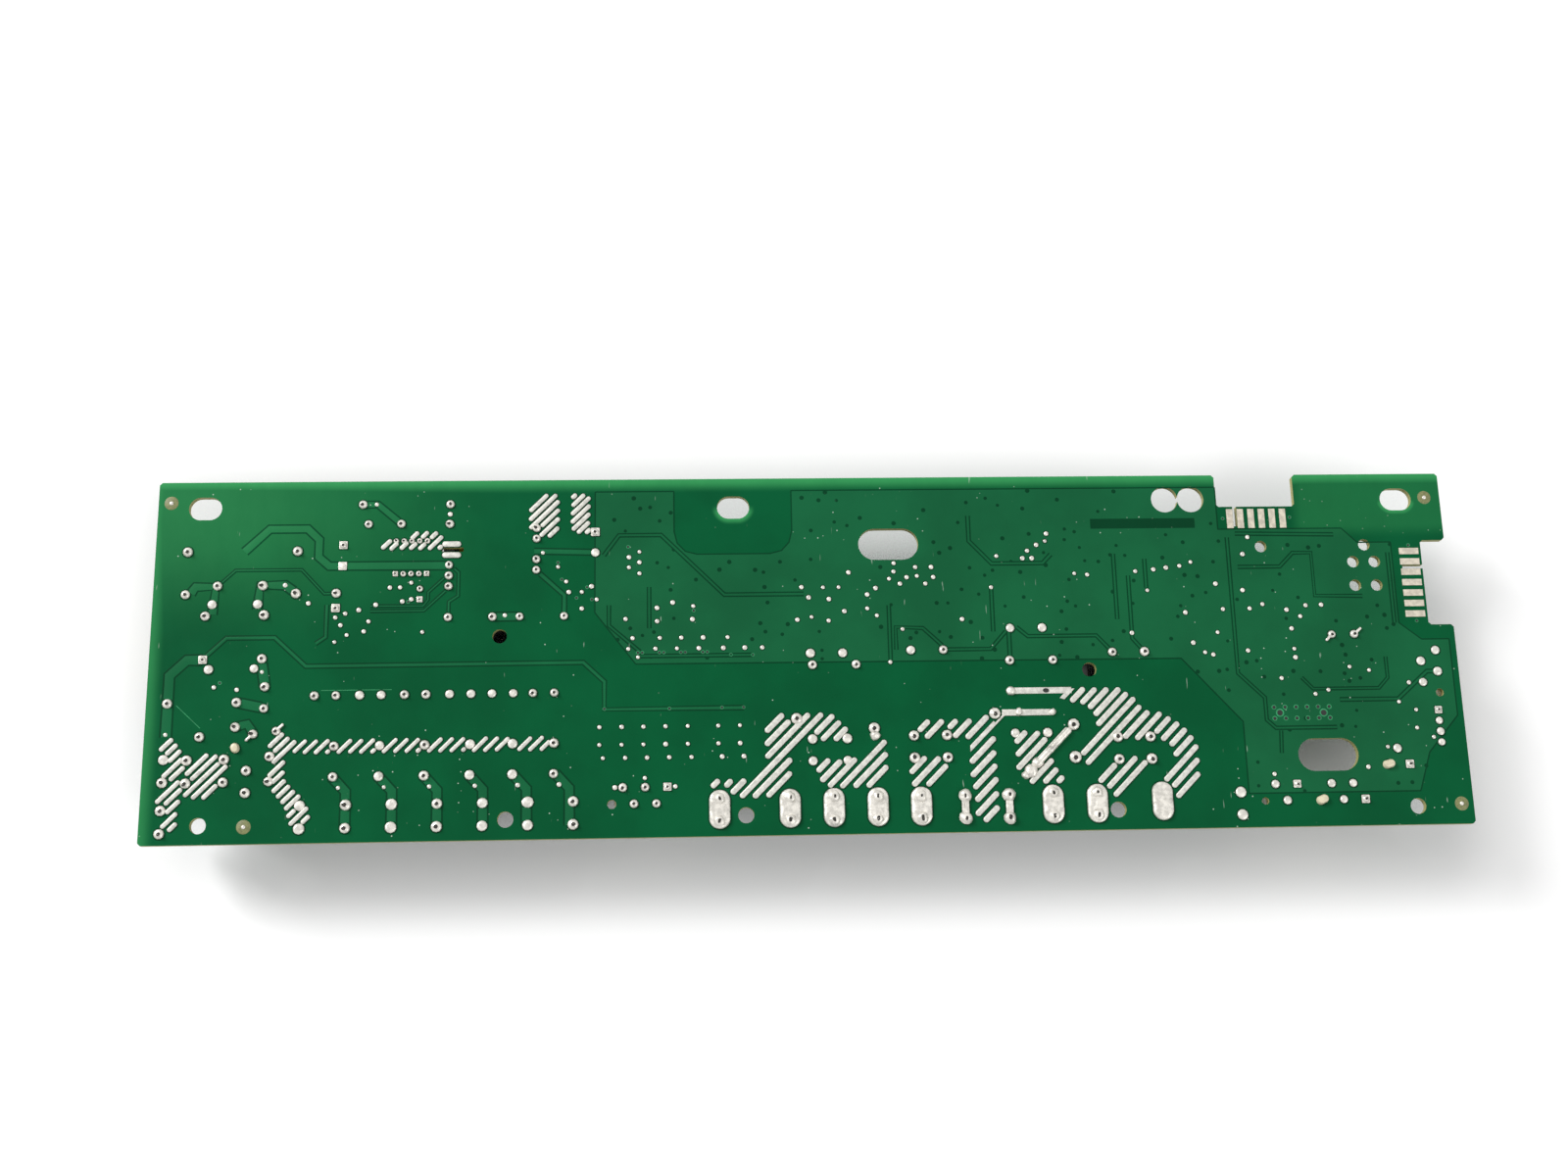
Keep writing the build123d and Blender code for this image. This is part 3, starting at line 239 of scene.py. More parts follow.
def solder_finish(name, colour, roughness, metallic=0.9, grime=0.0):
    """Tin that froze unevenly: bright, with duller frosted patches, shallow ripples and flux in its pits."""
    finish = Finish(name, colour, roughness, metallic)
    frost = finish.grain(950.0, 3.0, 0.55)
    tone = finish.mix(frost.rising(0.32, 0.68), shaded(colour, 0.84), shaded(colour, 1.1))
    if grime:
        flux = finish.grain(280.0, 5.0, 0.72).rising(0.56, 0.74) * grime
        tone = finish.mix(flux, tone, shaded(colour, 0.34))
    finish.set("Base Color", tone)
    finish.set("Roughness", frost.rising(0.3, 0.72) * 0.28 + roughness * 0.7)
    finish.bump(finish.grain(1100.0, 3.0) + finish.grain(420.0, 2.0) * 0.8, 0.07)
    return finish.material


# ---------------------------------------------------------------- shapes
def islands(mesh):
    """The vertices of each separate shell of a mesh."""
    waiting = set(mesh.verts)
    for first in list(mesh.verts):
        if first not in waiting:
            continue
        waiting.discard(first)
        group = [first]
        for vertex in group:
            for edge in vertex.link_edges:
                other = edge.other_vert(vertex)
                if other in waiting:
                    waiting.discard(other)
                    group.append(other)
        yield group


def copied(node):
    """A copy of a CAD node's mesh, with its loose triangles joined and one material."""
    mesh = bmesh.new()
    mesh.from_mesh(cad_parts[node].data)
    bmesh.ops.remove_doubles(mesh, verts=mesh.verts, dist=SAME)
    for face in mesh.faces:
        face.material_index = 0
    return mesh


def merged(node):
    """A copy of a CAD node's mesh, with its triangles merged into flat faces."""
    mesh = copied(node)
    bmesh.ops.dissolve_limit(mesh, angle_limit=0.02, verts=mesh.verts, edges=mesh.edges)
    return mesh


def solids(node):
    """The lowest and highest corner of each separate solid of a CAD node."""
    mesh = copied(node)
    found = []
    for group in islands(mesh):
        axes = [[vertex.co[i] for vertex in group] for i in range(3)]
        found.append((Vector(map(min, axes)), Vector(map(max, axes))))
    mesh.free()
    return sorted(found, key=lambda corners: (round(corners[0].x, 5), round(corners[0].y, 5)))


def box(node):
    """The lowest and highest corner of a CAD node."""
    return [Vector(corner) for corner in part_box(node)]


def middle_of(low, high, level):
    """The middle of a box in plan, at a level."""
    return Vector(((low.x + high.x) / 2, (low.y + high.y) / 2, level))


def placed(where, size=(MM, MM, MM), turn=0.0):
    """A matrix that scales, turns about Z and moves."""
    return Matrix.LocRotScale(where, Matrix.Rotation(turn, 3, "Z"), Vector(size))


def turned(profile, steps=16, dark=0.0):
    """A shape turned about Z from steps of radius and height; the second material lies inside radius dark."""
    if profile[0][0] > 0:
        profile = [(0.0, profile[0][1]), *profile]
    mesh = bmesh.new()
    line = [mesh.verts.new((radius, 0, height)) for radius, height in profile]
    edges = [mesh.edges.new(ends) for ends in zip(line, line[1:])]
    bmesh.ops.spin(mesh, geom=line + edges, axis=(0, 0, 1), angle=2 * math.pi, steps=steps, use_merge=True)
    bmesh.ops.remove_doubles(mesh, verts=mesh.verts, dist=SAME * 10)
    bmesh.ops.recalc_face_normals(mesh, faces=mesh.faces)
    bmesh.ops.rotate(mesh, verts=mesh.verts, matrix=Matrix.Rotation(math.pi / steps, 3, "Z"))
    for face in mesh.faces:
        face.material_index = int(face.calc_center_median().to_2d().length < dark)
    return mesh


def drawn_out(profile, steps, length):
    """A turned shape with its two halves pulled apart along Y."""
    mesh = turned(profile, steps)
    for vertex in mesh.verts:
        vertex.co.y += math.copysign(length / 2, vertex.co.y)
    return mesh


def halo(radius, height, steps, length):
    """The thin clearance round a long pad or strip."""
    return drawn_out([(radius, 0.0), (radius - 0.02, height), (0.0, height)], steps, length)


def stamp(target, pattern, matrix):
    """Adds a copy of a pattern to a mesh, moved by a matrix, and gives the vertices that it added."""
    known = len(target.verts)
    flat = bpy.data.meshes.new("pattern")
    pattern.to_mesh(flat)
    flat.transform(matrix)
    target.from_mesh(flat)
    bpy.data.meshes.remove(flat)
    target.verts.ensure_lookup_table()
    return target.verts[known:]


def stamp_once(target, pattern, matrix):
    """Adds a pattern to a mesh and lets the pattern go."""
    stamp(target, pattern, matrix)
    pattern.free()


def block(mesh, size, where, index=0, turn=0.0):
    """Adds a box of one of the mesh's materials, turned about Z round its middle."""
    for vertex in bmesh.ops.create_cube(mesh, size=1.0, matrix=placed(where, size, turn))["verts"]:
        for face in vertex.link_faces:
            face.material_index = index


def new_vertices(grown):
    """The vertices among what an extrusion made."""
    return [part for part in grown["geom"] if isinstance(part, bmesh.types.BMVert)]


def eased(mesh, width, segments=2, least=0.5, chosen=None):
    """Rounds the edges of a mesh that turn by more than an angle."""
    edges = [edge for edge in mesh.edges if len(edge.link_faces) == 2 and edge.calc_face_angle() > least]
    if chosen:
        edges = [edge for edge in edges if chosen(edge)]
    bmesh.ops.bevel(
        mesh, geom=edges, offset=width * MM, offset_type="OFFSET", segments=segments, profile=0.5,
        affect="EDGES", clamp_overlap=True, material=-1,
    )
    return mesh


def swept(kind, radius, strands):
    """A round mesh along strands of (place, relative radius), with their ends closed."""
    curve = bpy.data.curves.new("strands", "CURVE")
    curve.dimensions = "3D"
    curve.bevel_depth = radius
    curve.bevel_resolution = 1
    curve.use_fill_caps = True
    for strand in strands:
        spline = curve.splines.new(kind)
        spline.points.add(len(strand) - 1)
        for knot, (where, width) in zip(spline.points, strand):
            knot.co = (*where, 1.0)
            knot.radius = width
        spline.use_endpoint_u = True
    route = bpy.data.objects.new("strands", curve)
    flat = bpy.data.meshes.new_from_object(route)
    mesh = bmesh.new()
    mesh.from_mesh(flat)
    bpy.data.objects.remove(route)
    bpy.data.curves.remove(curve)
    bpy.data.meshes.remove(flat)
    return mesh


def piece(name, mesh, materials, nodes=(), smooth=40.0):
    """Makes an object of a mesh, which rides on the board and may stand for CAD nodes."""
    data = bpy.data.meshes.new(name)
    mesh.to_mesh(data)
    mesh.free()
    for material in materials:
        data.materials.append(material)
    data.shade_smooth()
    data.set_sharp_from_angle(angle=math.radians(smooth))
    made = bpy.data.objects.new(name, data)
    bpy.context.scene.collection.objects.link(made)
    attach(made, "root")
    if nodes:
        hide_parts(*nodes)
    return made


def eased_pieces(nodes, ending, material, width, segments=2):
    """Makes a piece of each CAD node, with its edges rounded."""
    for node in nodes:
        piece(f"{node}_{ending}", eased(merged(node), width, segments), [material], (node,))


def painted(node, material):
    """Gives a CAD node a finish."""
    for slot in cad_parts[node].material_slots:
        slot.material = material


def ribbons(name, routes, level, height, material, spread=0.0):
    """Low crowned ribbons along routes of (width, points), wider by spread on each side."""
    mesh = swept("POLY", MM, [
        [((*at(x, y).to_2d(), 0.0), width / 2 + spread) for x, y in points] for width, points in routes
    ])
    for vertex in mesh.verts:
        crown = min(1.0, max(-1.0, vertex.co.z / (0.4 * MM)))
        vertex.co.z = HIGH.z + (level + height * crown) * MM
    bmesh.ops.recalc_face_normals(mesh, faces=mesh.faces)
    piece(name, mesh, [material], smooth=50.0)


# ---------------------------------------------------------------- layout of the solder mask, in millimetres
# Under the mask, a copper plane fills the signal side of the board
PLANE = (
    (100, 80.3), (118.2, 80.3), (118.2, 70.6), (118.9, 67.8), (120.8, 65.8), (123.5, 65.1), (140.4, 65.1),
    (143.1, 65.8), (144.9, 67.8), (145.6, 70.6), (145.6, 80.3), (246, 80.3), (246, 70), (275.5, 70),
    (279, 66.5), (287, 66.5), (287, 47), (292, 43), (298.5, 43), (298.5, 25), (291, 16.5), (288, 7.7),
    (248.3, 7.7), (248.3, 24.2), (235, 39.2), (109.3, 39.4), (100, 51.5),
)
# Tracks on bare laminate: width and bends
MAINS_TRACKS = (
    (2.5, ((12, 41.5), (8.5, 41.5), (4.8, 38), (4.8, 24))),
    (2.0, ((20.1, 66.7), (25.6, 72), (34.2, 72), (36.9, 69.4), (36.9, 65.3), (39.4, 63.1), (66, 63))),
    (0.5, ((14.4, 58.6), (18.3, 62.3), (33.2, 62.3), (38.5, 56.6), (41.2, 56.7))),
    (0.9, (
        (12.8, 42.5), (17, 46.5), (27.8, 46.5), (35, 39.8),
        (97.4, 39.9), (102.2, 35.4), (102.2, 29), (133.8, 29),
    )),
    (2.2, ((8.5, 57), (9.5, 58.5), (14, 58.5), (13.5, 52))),
    (2.2, ((23.6, 53), (24, 58.7), (29.6, 58.7), (31.5, 57.3))),
    (2.3, ((20, 31.7), (25.5, 30.5))),
    (2.4, ((26.1, 35.3), (25.2, 40.5))),
    (2.2, ((19.9, 26.1), (22.6, 26.8), (24, 24.6))),
    *((2.3, ((x, 14.7), (x + 3.2, 11.3), (x + 3.3, 3))) for x in (41.7, 51.9, 61.9, 72, 81.7, 91.2)),
)
SUPPLY_TRACKS = (
    (1.6, ((46.6, 77.7), (50, 77.7), (55.5, 73))),
    (0.5, ((49, 53.6), (60.9, 53.5), (62, 55), (62, 56.7), (65.5, 60))),
    (0.5, ((49, 52.4), (61.1, 52.4), (65.9, 57))),
    (0.6, ((67.8, 62.2), (68.8, 61.3), (68.8, 55.8), (66.7, 54.4), (66.7, 51.5))),
    (0.8, ((39.2, 54), (39.2, 46.5), (37, 45))),
    (1.0, ((87.4, 60.8), (93, 55.7), (93, 51.5))),
    (1.3, ((86, 66.2), (100, 65.8))),
    (2.0, ((76.7, 50.8), (82.9, 50.8))),
)
# Fine tracks that show as light lines
FINE_TRACKS = ((0.14, ((6.7, 31.2), (12.2, 26))), (0.14, ((38.7, 34.2), (54.4, 34.2))))
# Tracks that cross the copper plane between two clearances
PLANE_TRACKS = (
    (0.6, ((102, 65), (105.5, 69.8), (115.2, 69.8), (129.7, 55.4), (148, 55.4))),
    (0.5, ((112.4, 47.7), (112.4, 57.4))),
    (0.5, ((103.2, 53.2), (103.2, 48.4), (110.3, 42.2))),
    (0.5, ((109.8, 41.2), (136, 41.2))),
    (0.5, ((167.6, 39.5), (167.6, 52.5))),
    (0.5, ((169, 42), (169, 47.3), (175.3, 47), (179.6, 42.9))),
    (0.5, ((180, 41.9), (190.8, 41.9), (194.5, 46))),
    (0.6, ((195.2, 46), (195.2, 40))),
    (0.5, ((197, 47), (199.6, 44.8), (215.5, 44.8), (218.5, 41.5))),
    (0.5, ((191.6, 46), (191.6, 56))),
    (0.6, ((186.9, 73.8), (186.9, 67.7), (192, 62.2), (204, 62.2), (206, 64.3))),
    (0.5, ((220.7, 48.6), (220.7, 64.3))),
    (0.5, ((223.9, 59), (223.9, 44), (226, 41.5))),
    (0.5, ((228, 56), (228, 63))),
    (0.5, ((248, 68), (248, 35.5), (253.8, 29.7), (253.8, 24.5), (255.8, 22.6), (270, 22.6))),
    (0.4, ((256.9, 22), (256.6, 16.8))),
    (0.4, ((262.8, 34.3), (265.3, 31.6), (280.7, 31.6), (283, 34), (283, 39))),
    (0.6, ((271.3, 29), (285, 29), (292.4, 35.4), (294, 35.4))),
    (0.5, ((250, 68.9), (273.5, 68.5))),
    (0.5, ((250, 60.8), (260, 60.8), (263.3, 64.1), (267.7, 64.1), (267.7, 53.7), (279, 53.5))),
    (0.5, ((286, 47), (286, 64))),
)
PLANE_BAR = (1.8, ((215.8, 71.6), (240.6, 71.6)))
OPEN_VIAS = (
    (16.1, 36.2), (57.5, 54.5), (91.5, 63.4), (92.4, 59.4), (98.2, 57.5), (99.3, 54.6), (95.8, 55),
    (107.6, 67), (102.2, 29.1), (116.9, 29), (128.8, 29.1), (133.7, 29.1), (122.6, 51.7), (247.4, 72.6),
    (263.4, 72.8), (291.2, 65.7), (291.3, 47.4),
    *((x + side, 42) for x in (110.3, 115.2, 120.1, 125.1) for side in (-0.5, 0.5)), (131, 41.3),
    (136, 41.2),
)
PROGRAMMING_PINS = [(255.7 + 2.58 * column, y) for column in range(6) for y in (27.4, 24.8)]
PROGRAMMING_GUIDES = ((257, 26.1), (267.2, 26))
# Tries at a place for a tented via, and how far it stays from its neighbours
TENTED_TRIES = 420
TENTED_GAP = 1.9
# Slots and other places without vias: middle and half length
SLOTS = ((168, 67.1, 8), (267.4, 16.3, 8), (236.9, 77.4, 6), (279, 59, 5), (254, 25, 3))
# Slots near an edge, beside which light through the laminate is painted in as glow: middle, half length of the
# straight part, and radius
GLOWING_SLOTS = (((132, 76.3), 1.0, 2.7), ((289.3, 77), 1.05, 2.7))
TARGETS = ((2.9, 78.4), (22.9, 3.8), (296.3, 77.4), (297.2, 4.6))
# Joints without a lead's tip, joints on square lands, and leads bent over: place and direction
FLAT_JOINTS = (
    *((x, 33) for x in (52.1, 67.4, 72.2, 76.9, 81.7)), *((x, 14.8) for x in (52, 72, 81.5)),
    *((x, y) for x in (55.1, 75.3, 85.2) for y in (8.1, 3.1)), *((x, 21.6) for x in (52, 72.2, 81.7)),
    (4.7, 18.5), (34.9, 2.8), (34.9, 8), (246.3, 8), (246.3, 3), (290.7, 37.9), (290.7, 32.9),
    (294.6, 40.5), (294.6, 35.4), (42.3, 63.1), (99.9, 65.8), (168, 42.2), (172.6, 42.2), (13.4, 39.3),
    (23.5, 39.4), (13.4, 54.3), (23.6, 54.3), (149.2, 41.4), (156.6, 41.4), (195.55, 46.8), (203, 46.8),
    (149.2, 21.6), (149.2, 16.6), (157.1, 21.6), (157.1, 16.6), (195.5, 22.3), (202.9, 22.3), (265, 6),
    (281.1, 13.85), (20.2, 21.4), (47.3, 33), (254.4, 9.7), (257, 5.9), (267.1, 9.7), (272.2, 9.7),
    (269.7, 5.9), (283.4, 17.6), (294.1, 23.8), (294.1, 21.2), (294.1, 18.9),
)
SQUARE_LANDS = (
    (12, 41.5), (42.5, 68), (42.4, 63.1), (41.2, 53.2), (54.4, 61.1), (61.6, 61.1), (60.1, 55.1),
    (100.1, 70.6), (116.3, 11.3), (259.5, 9.7), (275, 6), (286.1, 13.85), (294.1, 26.3),
)
# Drops of resin over joints: place, length and turn
RESIN_DROPS = (((265, 6), 0.9, -65), ((281.2, 13.9), 0.9, -75), ((20.2, 21.4), 0.3, 20))
SOLDER_HEAPS = (
    ((198.6, 13.6), 1.0), ((200.3, 15.4), 0.85), ((197.4, 12.6), 0.62), ((163.4, 22.2), 0.75),
    ((194.9, 32), 0.7), ((204.2, 27.1), 0.58), ((196.5, 27.1), 0.6),
)
# Shapes of tinning wider than this aren't strips
WIDEST_STRIP = 1.75 * MM
# Height of the tallest solder, and the level where it starts to ripple
TOP_OF_SOLDER = 1.38 * MM
FOOT_OF_SOLDER = 0.2 * MM
BENT_LEADS = (((24, 24.5), 225), ((29.1, 25.1), 45), ((270.8, 44.4), 225), ((276.1, 44.4), 40))


def near(spot, places, reach=1.0):
    """Whether a spot of the board, in metres, is at one of some places in millimetres."""
    return any((spot - at(x, y).to_2d()).length < reach * MM for x, y in places)


def inside(spot, outline):
    """Whether a place in millimetres is inside a closed outline."""
    x, y = spot
    crossings = 0
    for (x1, y1), (x2, y2) in sides(outline):
        if (y1 > y) != (y2 > y) and x < x1 + (y - y1) * (x2 - x1) / (y2 - y1):
            crossings += 1
    return crossings % 2 == 1


def sides(outline):
    """The sides of a closed outline, each from corner to corner."""
    return zip(outline, (*outline[1:], outline[0]))


def on_board(where):
    """A place in metres as millimetres from the board's lower left corner."""
    return (where.x - LOW.x) / MM, (where.y - LOW.y) / MM


# ---------------------------------------------------------------- the camera and the sky
CAMERA_PLACE = at(123.5, -41.4, 400.5)
CAMERA_AIM = Vector((0.0484, 0.2380, -0.9701))
CAMERA_RIGHT = Vector((0.99877, -0.02158, 0.04457))
# Strength of the sky as a light; its strength where it is seen is 1
SKY_LIGHT = 0.42


# ---------------------------------------------------------------- sizes and colours
def colour(name, description, default):
    """A colour that a user may change."""
    return FloatVectorProperty(
        name=name, description=description, default=default, subtype="COLOR", size=3, min=0, max=1,
    )


class MaskProperties(bpy.types.PropertyGroup):
    """Solder mask and copper"""

    mask: colour("Mask", "Green of the mask over bare laminate", (0.001, 0.092, 0.030))
    # The glow is painted light, mixed into each mask's colour near the edges
    glow: colour("Glow", "Green where light comes through the laminate near its edges", (0.040, 0.315, 0.100))
    copper: colour("Copper", "Green of the mask over copper", (0.008, 0.116, 0.043))
    # The clearance green is partly the mask's own darker colour in the gaps and partly painted shade at the
    # edges of raised copper and solder
    clearance: colour("Clearance", "Green in the gaps round tracks and joints", (0.001, 0.048, 0.017))
    laminate: colour("Laminate", "Cut edge of the laminate", (0.42, 0.40, 0.17))
    relief: FloatProperty(name="Relief", description="Millimetres that copper lifts the mask", default=0.035)


class SolderProperties(bpy.types.PropertyGroup):
    """Solder, leads and bare copper"""

    tin: colour("Tin", "Solder", (0.76, 0.73, 0.665))
    strip: colour("Strip", "Solder on the hatched copper", (0.70, 0.69, 0.63))
    # Near-black: a cut lead end, darkened to paint the shade and dark reflection in the tips of the joints and
    # pads
    lead_end_and_shade: colour("Lead end", "Cut end of a lead", (0.05, 0.048, 0.042))
    contact: colour("Contact", "Card-edge contacts", (0.66, 0.60, 0.49))
    joint_height: FloatProperty(name="Joint height", description="Millimetres of a joint", default=1.2)
    steps: IntProperty(name="Steps", description="Steps round each joint", default=10, min=6)


class PartProperties(bpy.types.PropertyGroup):
    """Components under the board"""

    relay: colour("Relay", "Relay covers", (0.028, 0.028, 0.030))
    sleeve: colour("Sleeve", "Shrink sleeve of the cans", (0.018, 0.022, 0.045))
    film: colour("Film capacitor", "Film capacitor boxes", (0.55, 0.40, 0.06))
    disc: colour("Disc", "Dipped disc capacitors", (0.06, 0.17, 0.46))
    varistor: colour("Varistor", "Varistor coat", (0.04, 0.22, 0.42))
    thermistor: colour("Thermistor", "Thermistor coat", (0.03, 0.05, 0.035))
    wire: colour("Wire", "Enamelled wire", (0.52, 0.20, 0.06))
    tape: colour("Tape", "Transformer tape", (0.68, 0.50, 0.06))
    header: colour("Header", "Pin headers", (0.80, 0.78, 0.70))
    wire_gauge: FloatProperty(name="Wire gauge", description="Choke wire across, in millimetres", default=1.0)


class StageProperties(bpy.types.PropertyGroup):
    """Floor, lights and camera"""

    floor: colour("Floor", "Floor", (0.86, 0.86, 0.86))
    key: FloatProperty(name="Key light", description="Power of the window light", default=29.0, unit="POWER")
    fill: FloatProperty(name="Fill light", description="Power of the fill light", default=8.0, unit="POWER")
    backdrop: FloatProperty(
        name="Backdrop", description="White that the camera adds to the floor", default=0.2, min=0, max=1,
    )
    lens: FloatProperty(name="Lens", description="Focal length", default=41.04, unit="CAMERA")


# ---------------------------------------------------------------- the board
class BOARD_OT_mask(bpy.types.Operator):
    """Coats the laminate in solder mask and bares the card-edge contacts"""

    bl_idname = "board.mask"
    bl_label = "Mask"

    def execute(self, context):
        look = context.scene.board_mask
        greens = tuple(look.mask), tuple(look.glow)
        painted("circuit_board", mask_finish("mask_over_laminate", greens, tuple(look.laminate)))
        solder = context.scene.board_solder
        contact = solder_finish("bare_contact", tuple(solder.contact), 0.42, 0.5)
        solder_finish("frozen_tin", tuple(solder.tin), 0.3, 0.45, 0.75)
        solder_finish("strip_tin", tuple(solder.strip), 0.45, 0.2, 0.3)
        mottled("lead_end_and_shade", tuple(solder.lead_end_and_shade), 0.28, 0.7, scale=2500.0, spread=0.5)
        painted("top_edge_contacts", contact)
        painted("side_edge_contacts", contact)
        return {"FINISHED"}


class BOARD_OT_copper(bpy.types.Operator):
    """Lays the copper plane and tracks under the mask, with the clearances round them"""

    bl_idname = "board.copper"
    bl_label = "Copper"

    def plane(self, relief, material):
        """Cuts the plane out of the board's own upper face, so that every hole stays open."""
        sunk = 0.02 * MM
        mesh = copied("circuit_board")
        level = HIGH.z - 0.1 * MM
        rest = [face for face in mesh.faces if face.normal.z < 0.9 or face.calc_center_median().z < level]
        bmesh.ops.delete(mesh, geom=rest, context="FACES")
        for start, end in sides(PLANE):
            across = (at(*end) - at(*start)).cross(Vector((0, 0, 1)))
            parts = [*mesh.verts, *mesh.edges, *mesh.faces]
            bmesh.ops.bisect_plane(mesh, geom=parts, dist=SAME / 10, plane_co=at(*start), plane_no=across)
        out = [face for face in mesh.faces if not inside(on_board(face.calc_center_median()), PLANE)]
        bmesh.ops.delete(mesh, geom=out, context="FACES")
        bmesh.ops.translate(mesh, verts=mesh.verts, vec=(0, 0, -sunk))
        grown = bmesh.ops.extrude_face_region(mesh, geom=mesh.faces[:])
        bmesh.ops.translate(mesh, verts=new_vertices(grown), vec=(0, 0, relief * MM + sunk))
        bmesh.ops.recalc_face_normals(mesh, faces=mesh.faces)
        piece("copper_plane", mesh, [material], smooth=20.0)

    def execute(self, context):
        look = context.scene.board_mask
        # Each mask gets its own painted glow colour, for the light through the laminate
        copper = mask_finish("mask_over_copper", (tuple(look.copper), shaded(look.glow, 0.55)))
        # The darker clearance green: the mask's own colour in the gaps, with painted shade at the edges of
        # tracks, joints, pads and strips and in the dimples of the tented vias
        clearance = mask_finish("mask_in_clearances_and_shade", (tuple(look.clearance), shaded(look.clearance, 2.0)))
        self.plane(look.relief, copper)
        over_tracks = mask_finish("mask_over_tracks", (shaded(look.copper, 1.12), shaded(look.glow, 1.0)))
        tracks = MAINS_TRACKS + SUPPLY_TRACKS
        ribbons("track_shadows", tracks, 0, 0.03, clearance, 0.24)
        ribbons("tracks", tracks, 0, 0.06, over_tracks)
        ribbons("plane_edge", [(0.22, side) for side in sides(PLANE)], 0.03, 0.03, clearance, 0.06)
        ribbons("plane_clearances", (*PLANE_TRACKS, PLANE_BAR), 0.04, 0.02, clearance, 0.3)
        ribbons("plane_tracks", PLANE_TRACKS, 0.055, 0.03, copper)
        self.vias(context, clearance)
        return {"FINISHED"}

    def vias(self, context, clearance):
        """Open vias with a pale green rim, tented ones, the programming holes and the bare targets."""
        # The near-black inside each open via is painted shade where the hole goes down
        hole = mottled("hole_shade", (0.004, 0.006, 0.004), 0.6)
        # A paler green for the rims of the open vias and the fine tracks, lighter than the mask over copper
        rim = mottled("pale_rim", shaded(context.scene.board_mask.copper, 2.2), 0.4)
        ribbons("fine_tracks", FINE_TRACKS, 0, 0.06, rim)
        bare = mottled("bare_laminate", (0.20, 0.21, 0.085), 0.5, scale=2500.0)
        eyelet = turned([(0.75, 0.0), (0.72, 0.09), (0.58, 0.1), (0.5, 0.06), (0.0, 0.06)], 12, 0.52)
        mesh = bmesh.new()
        for spots, size, height in (
            (OPEN_VIAS, 0.6, 1.0), (PROGRAMMING_PINS, 0.8, 0.9), (PROGRAMMING_GUIDES, 1.35, 1.0),
        ):
            for spot in spots:
                stamp(mesh, eyelet, placed(at(*spot), (size * MM, size * MM, height * MM)))
        piece("open_vias", mesh, [rim, hole])
        chance = random.Random(11)
        dimple = turned([(0.5, 0.0), (0.46, 0.055), (0.3, 0.06), (0.0, 0.045)], 10)
        mesh = bmesh.new()
        taken = self.taken()
        for i in range(TENTED_TRIES):
            spot = (chance.uniform(101, 290), chance.uniform(8, 80))
            where = at(*spot).to_2d()
            if inside(spot, PLANE) and all((where - other).length > TENTED_GAP * MM for other in taken):
                taken.append(where)
                size = chance.uniform(0.8, 1.15) * MM
                stamp(mesh, dimple, placed(at(*spot), (size, size, MM)))
        piece("tented_vias", mesh, [clearance])
        mesh = bmesh.new()
        ring = turned([(1.6, 0.0), (1.5, 0.05), (0.0, 0.05)], 24)
        for spot in TARGETS:
            stamp(mesh, ring, placed(at(*spot)))
        piece("target_rings", mesh, [bare])

    def taken(self):
        """Places that a tented via keeps away from."""
        joints = solids("lead_joints") + solids("plated_holes")
        spots = [middle_of(*ends, 0).to_2d() for ends in joints]
        for x, y, reach in SLOTS:
            for dx in range(-reach, reach + 1, 2):
                spots += [at(x + dx, y + dy).to_2d() for dy in (-3, -1, 1, 3)]
        return spots


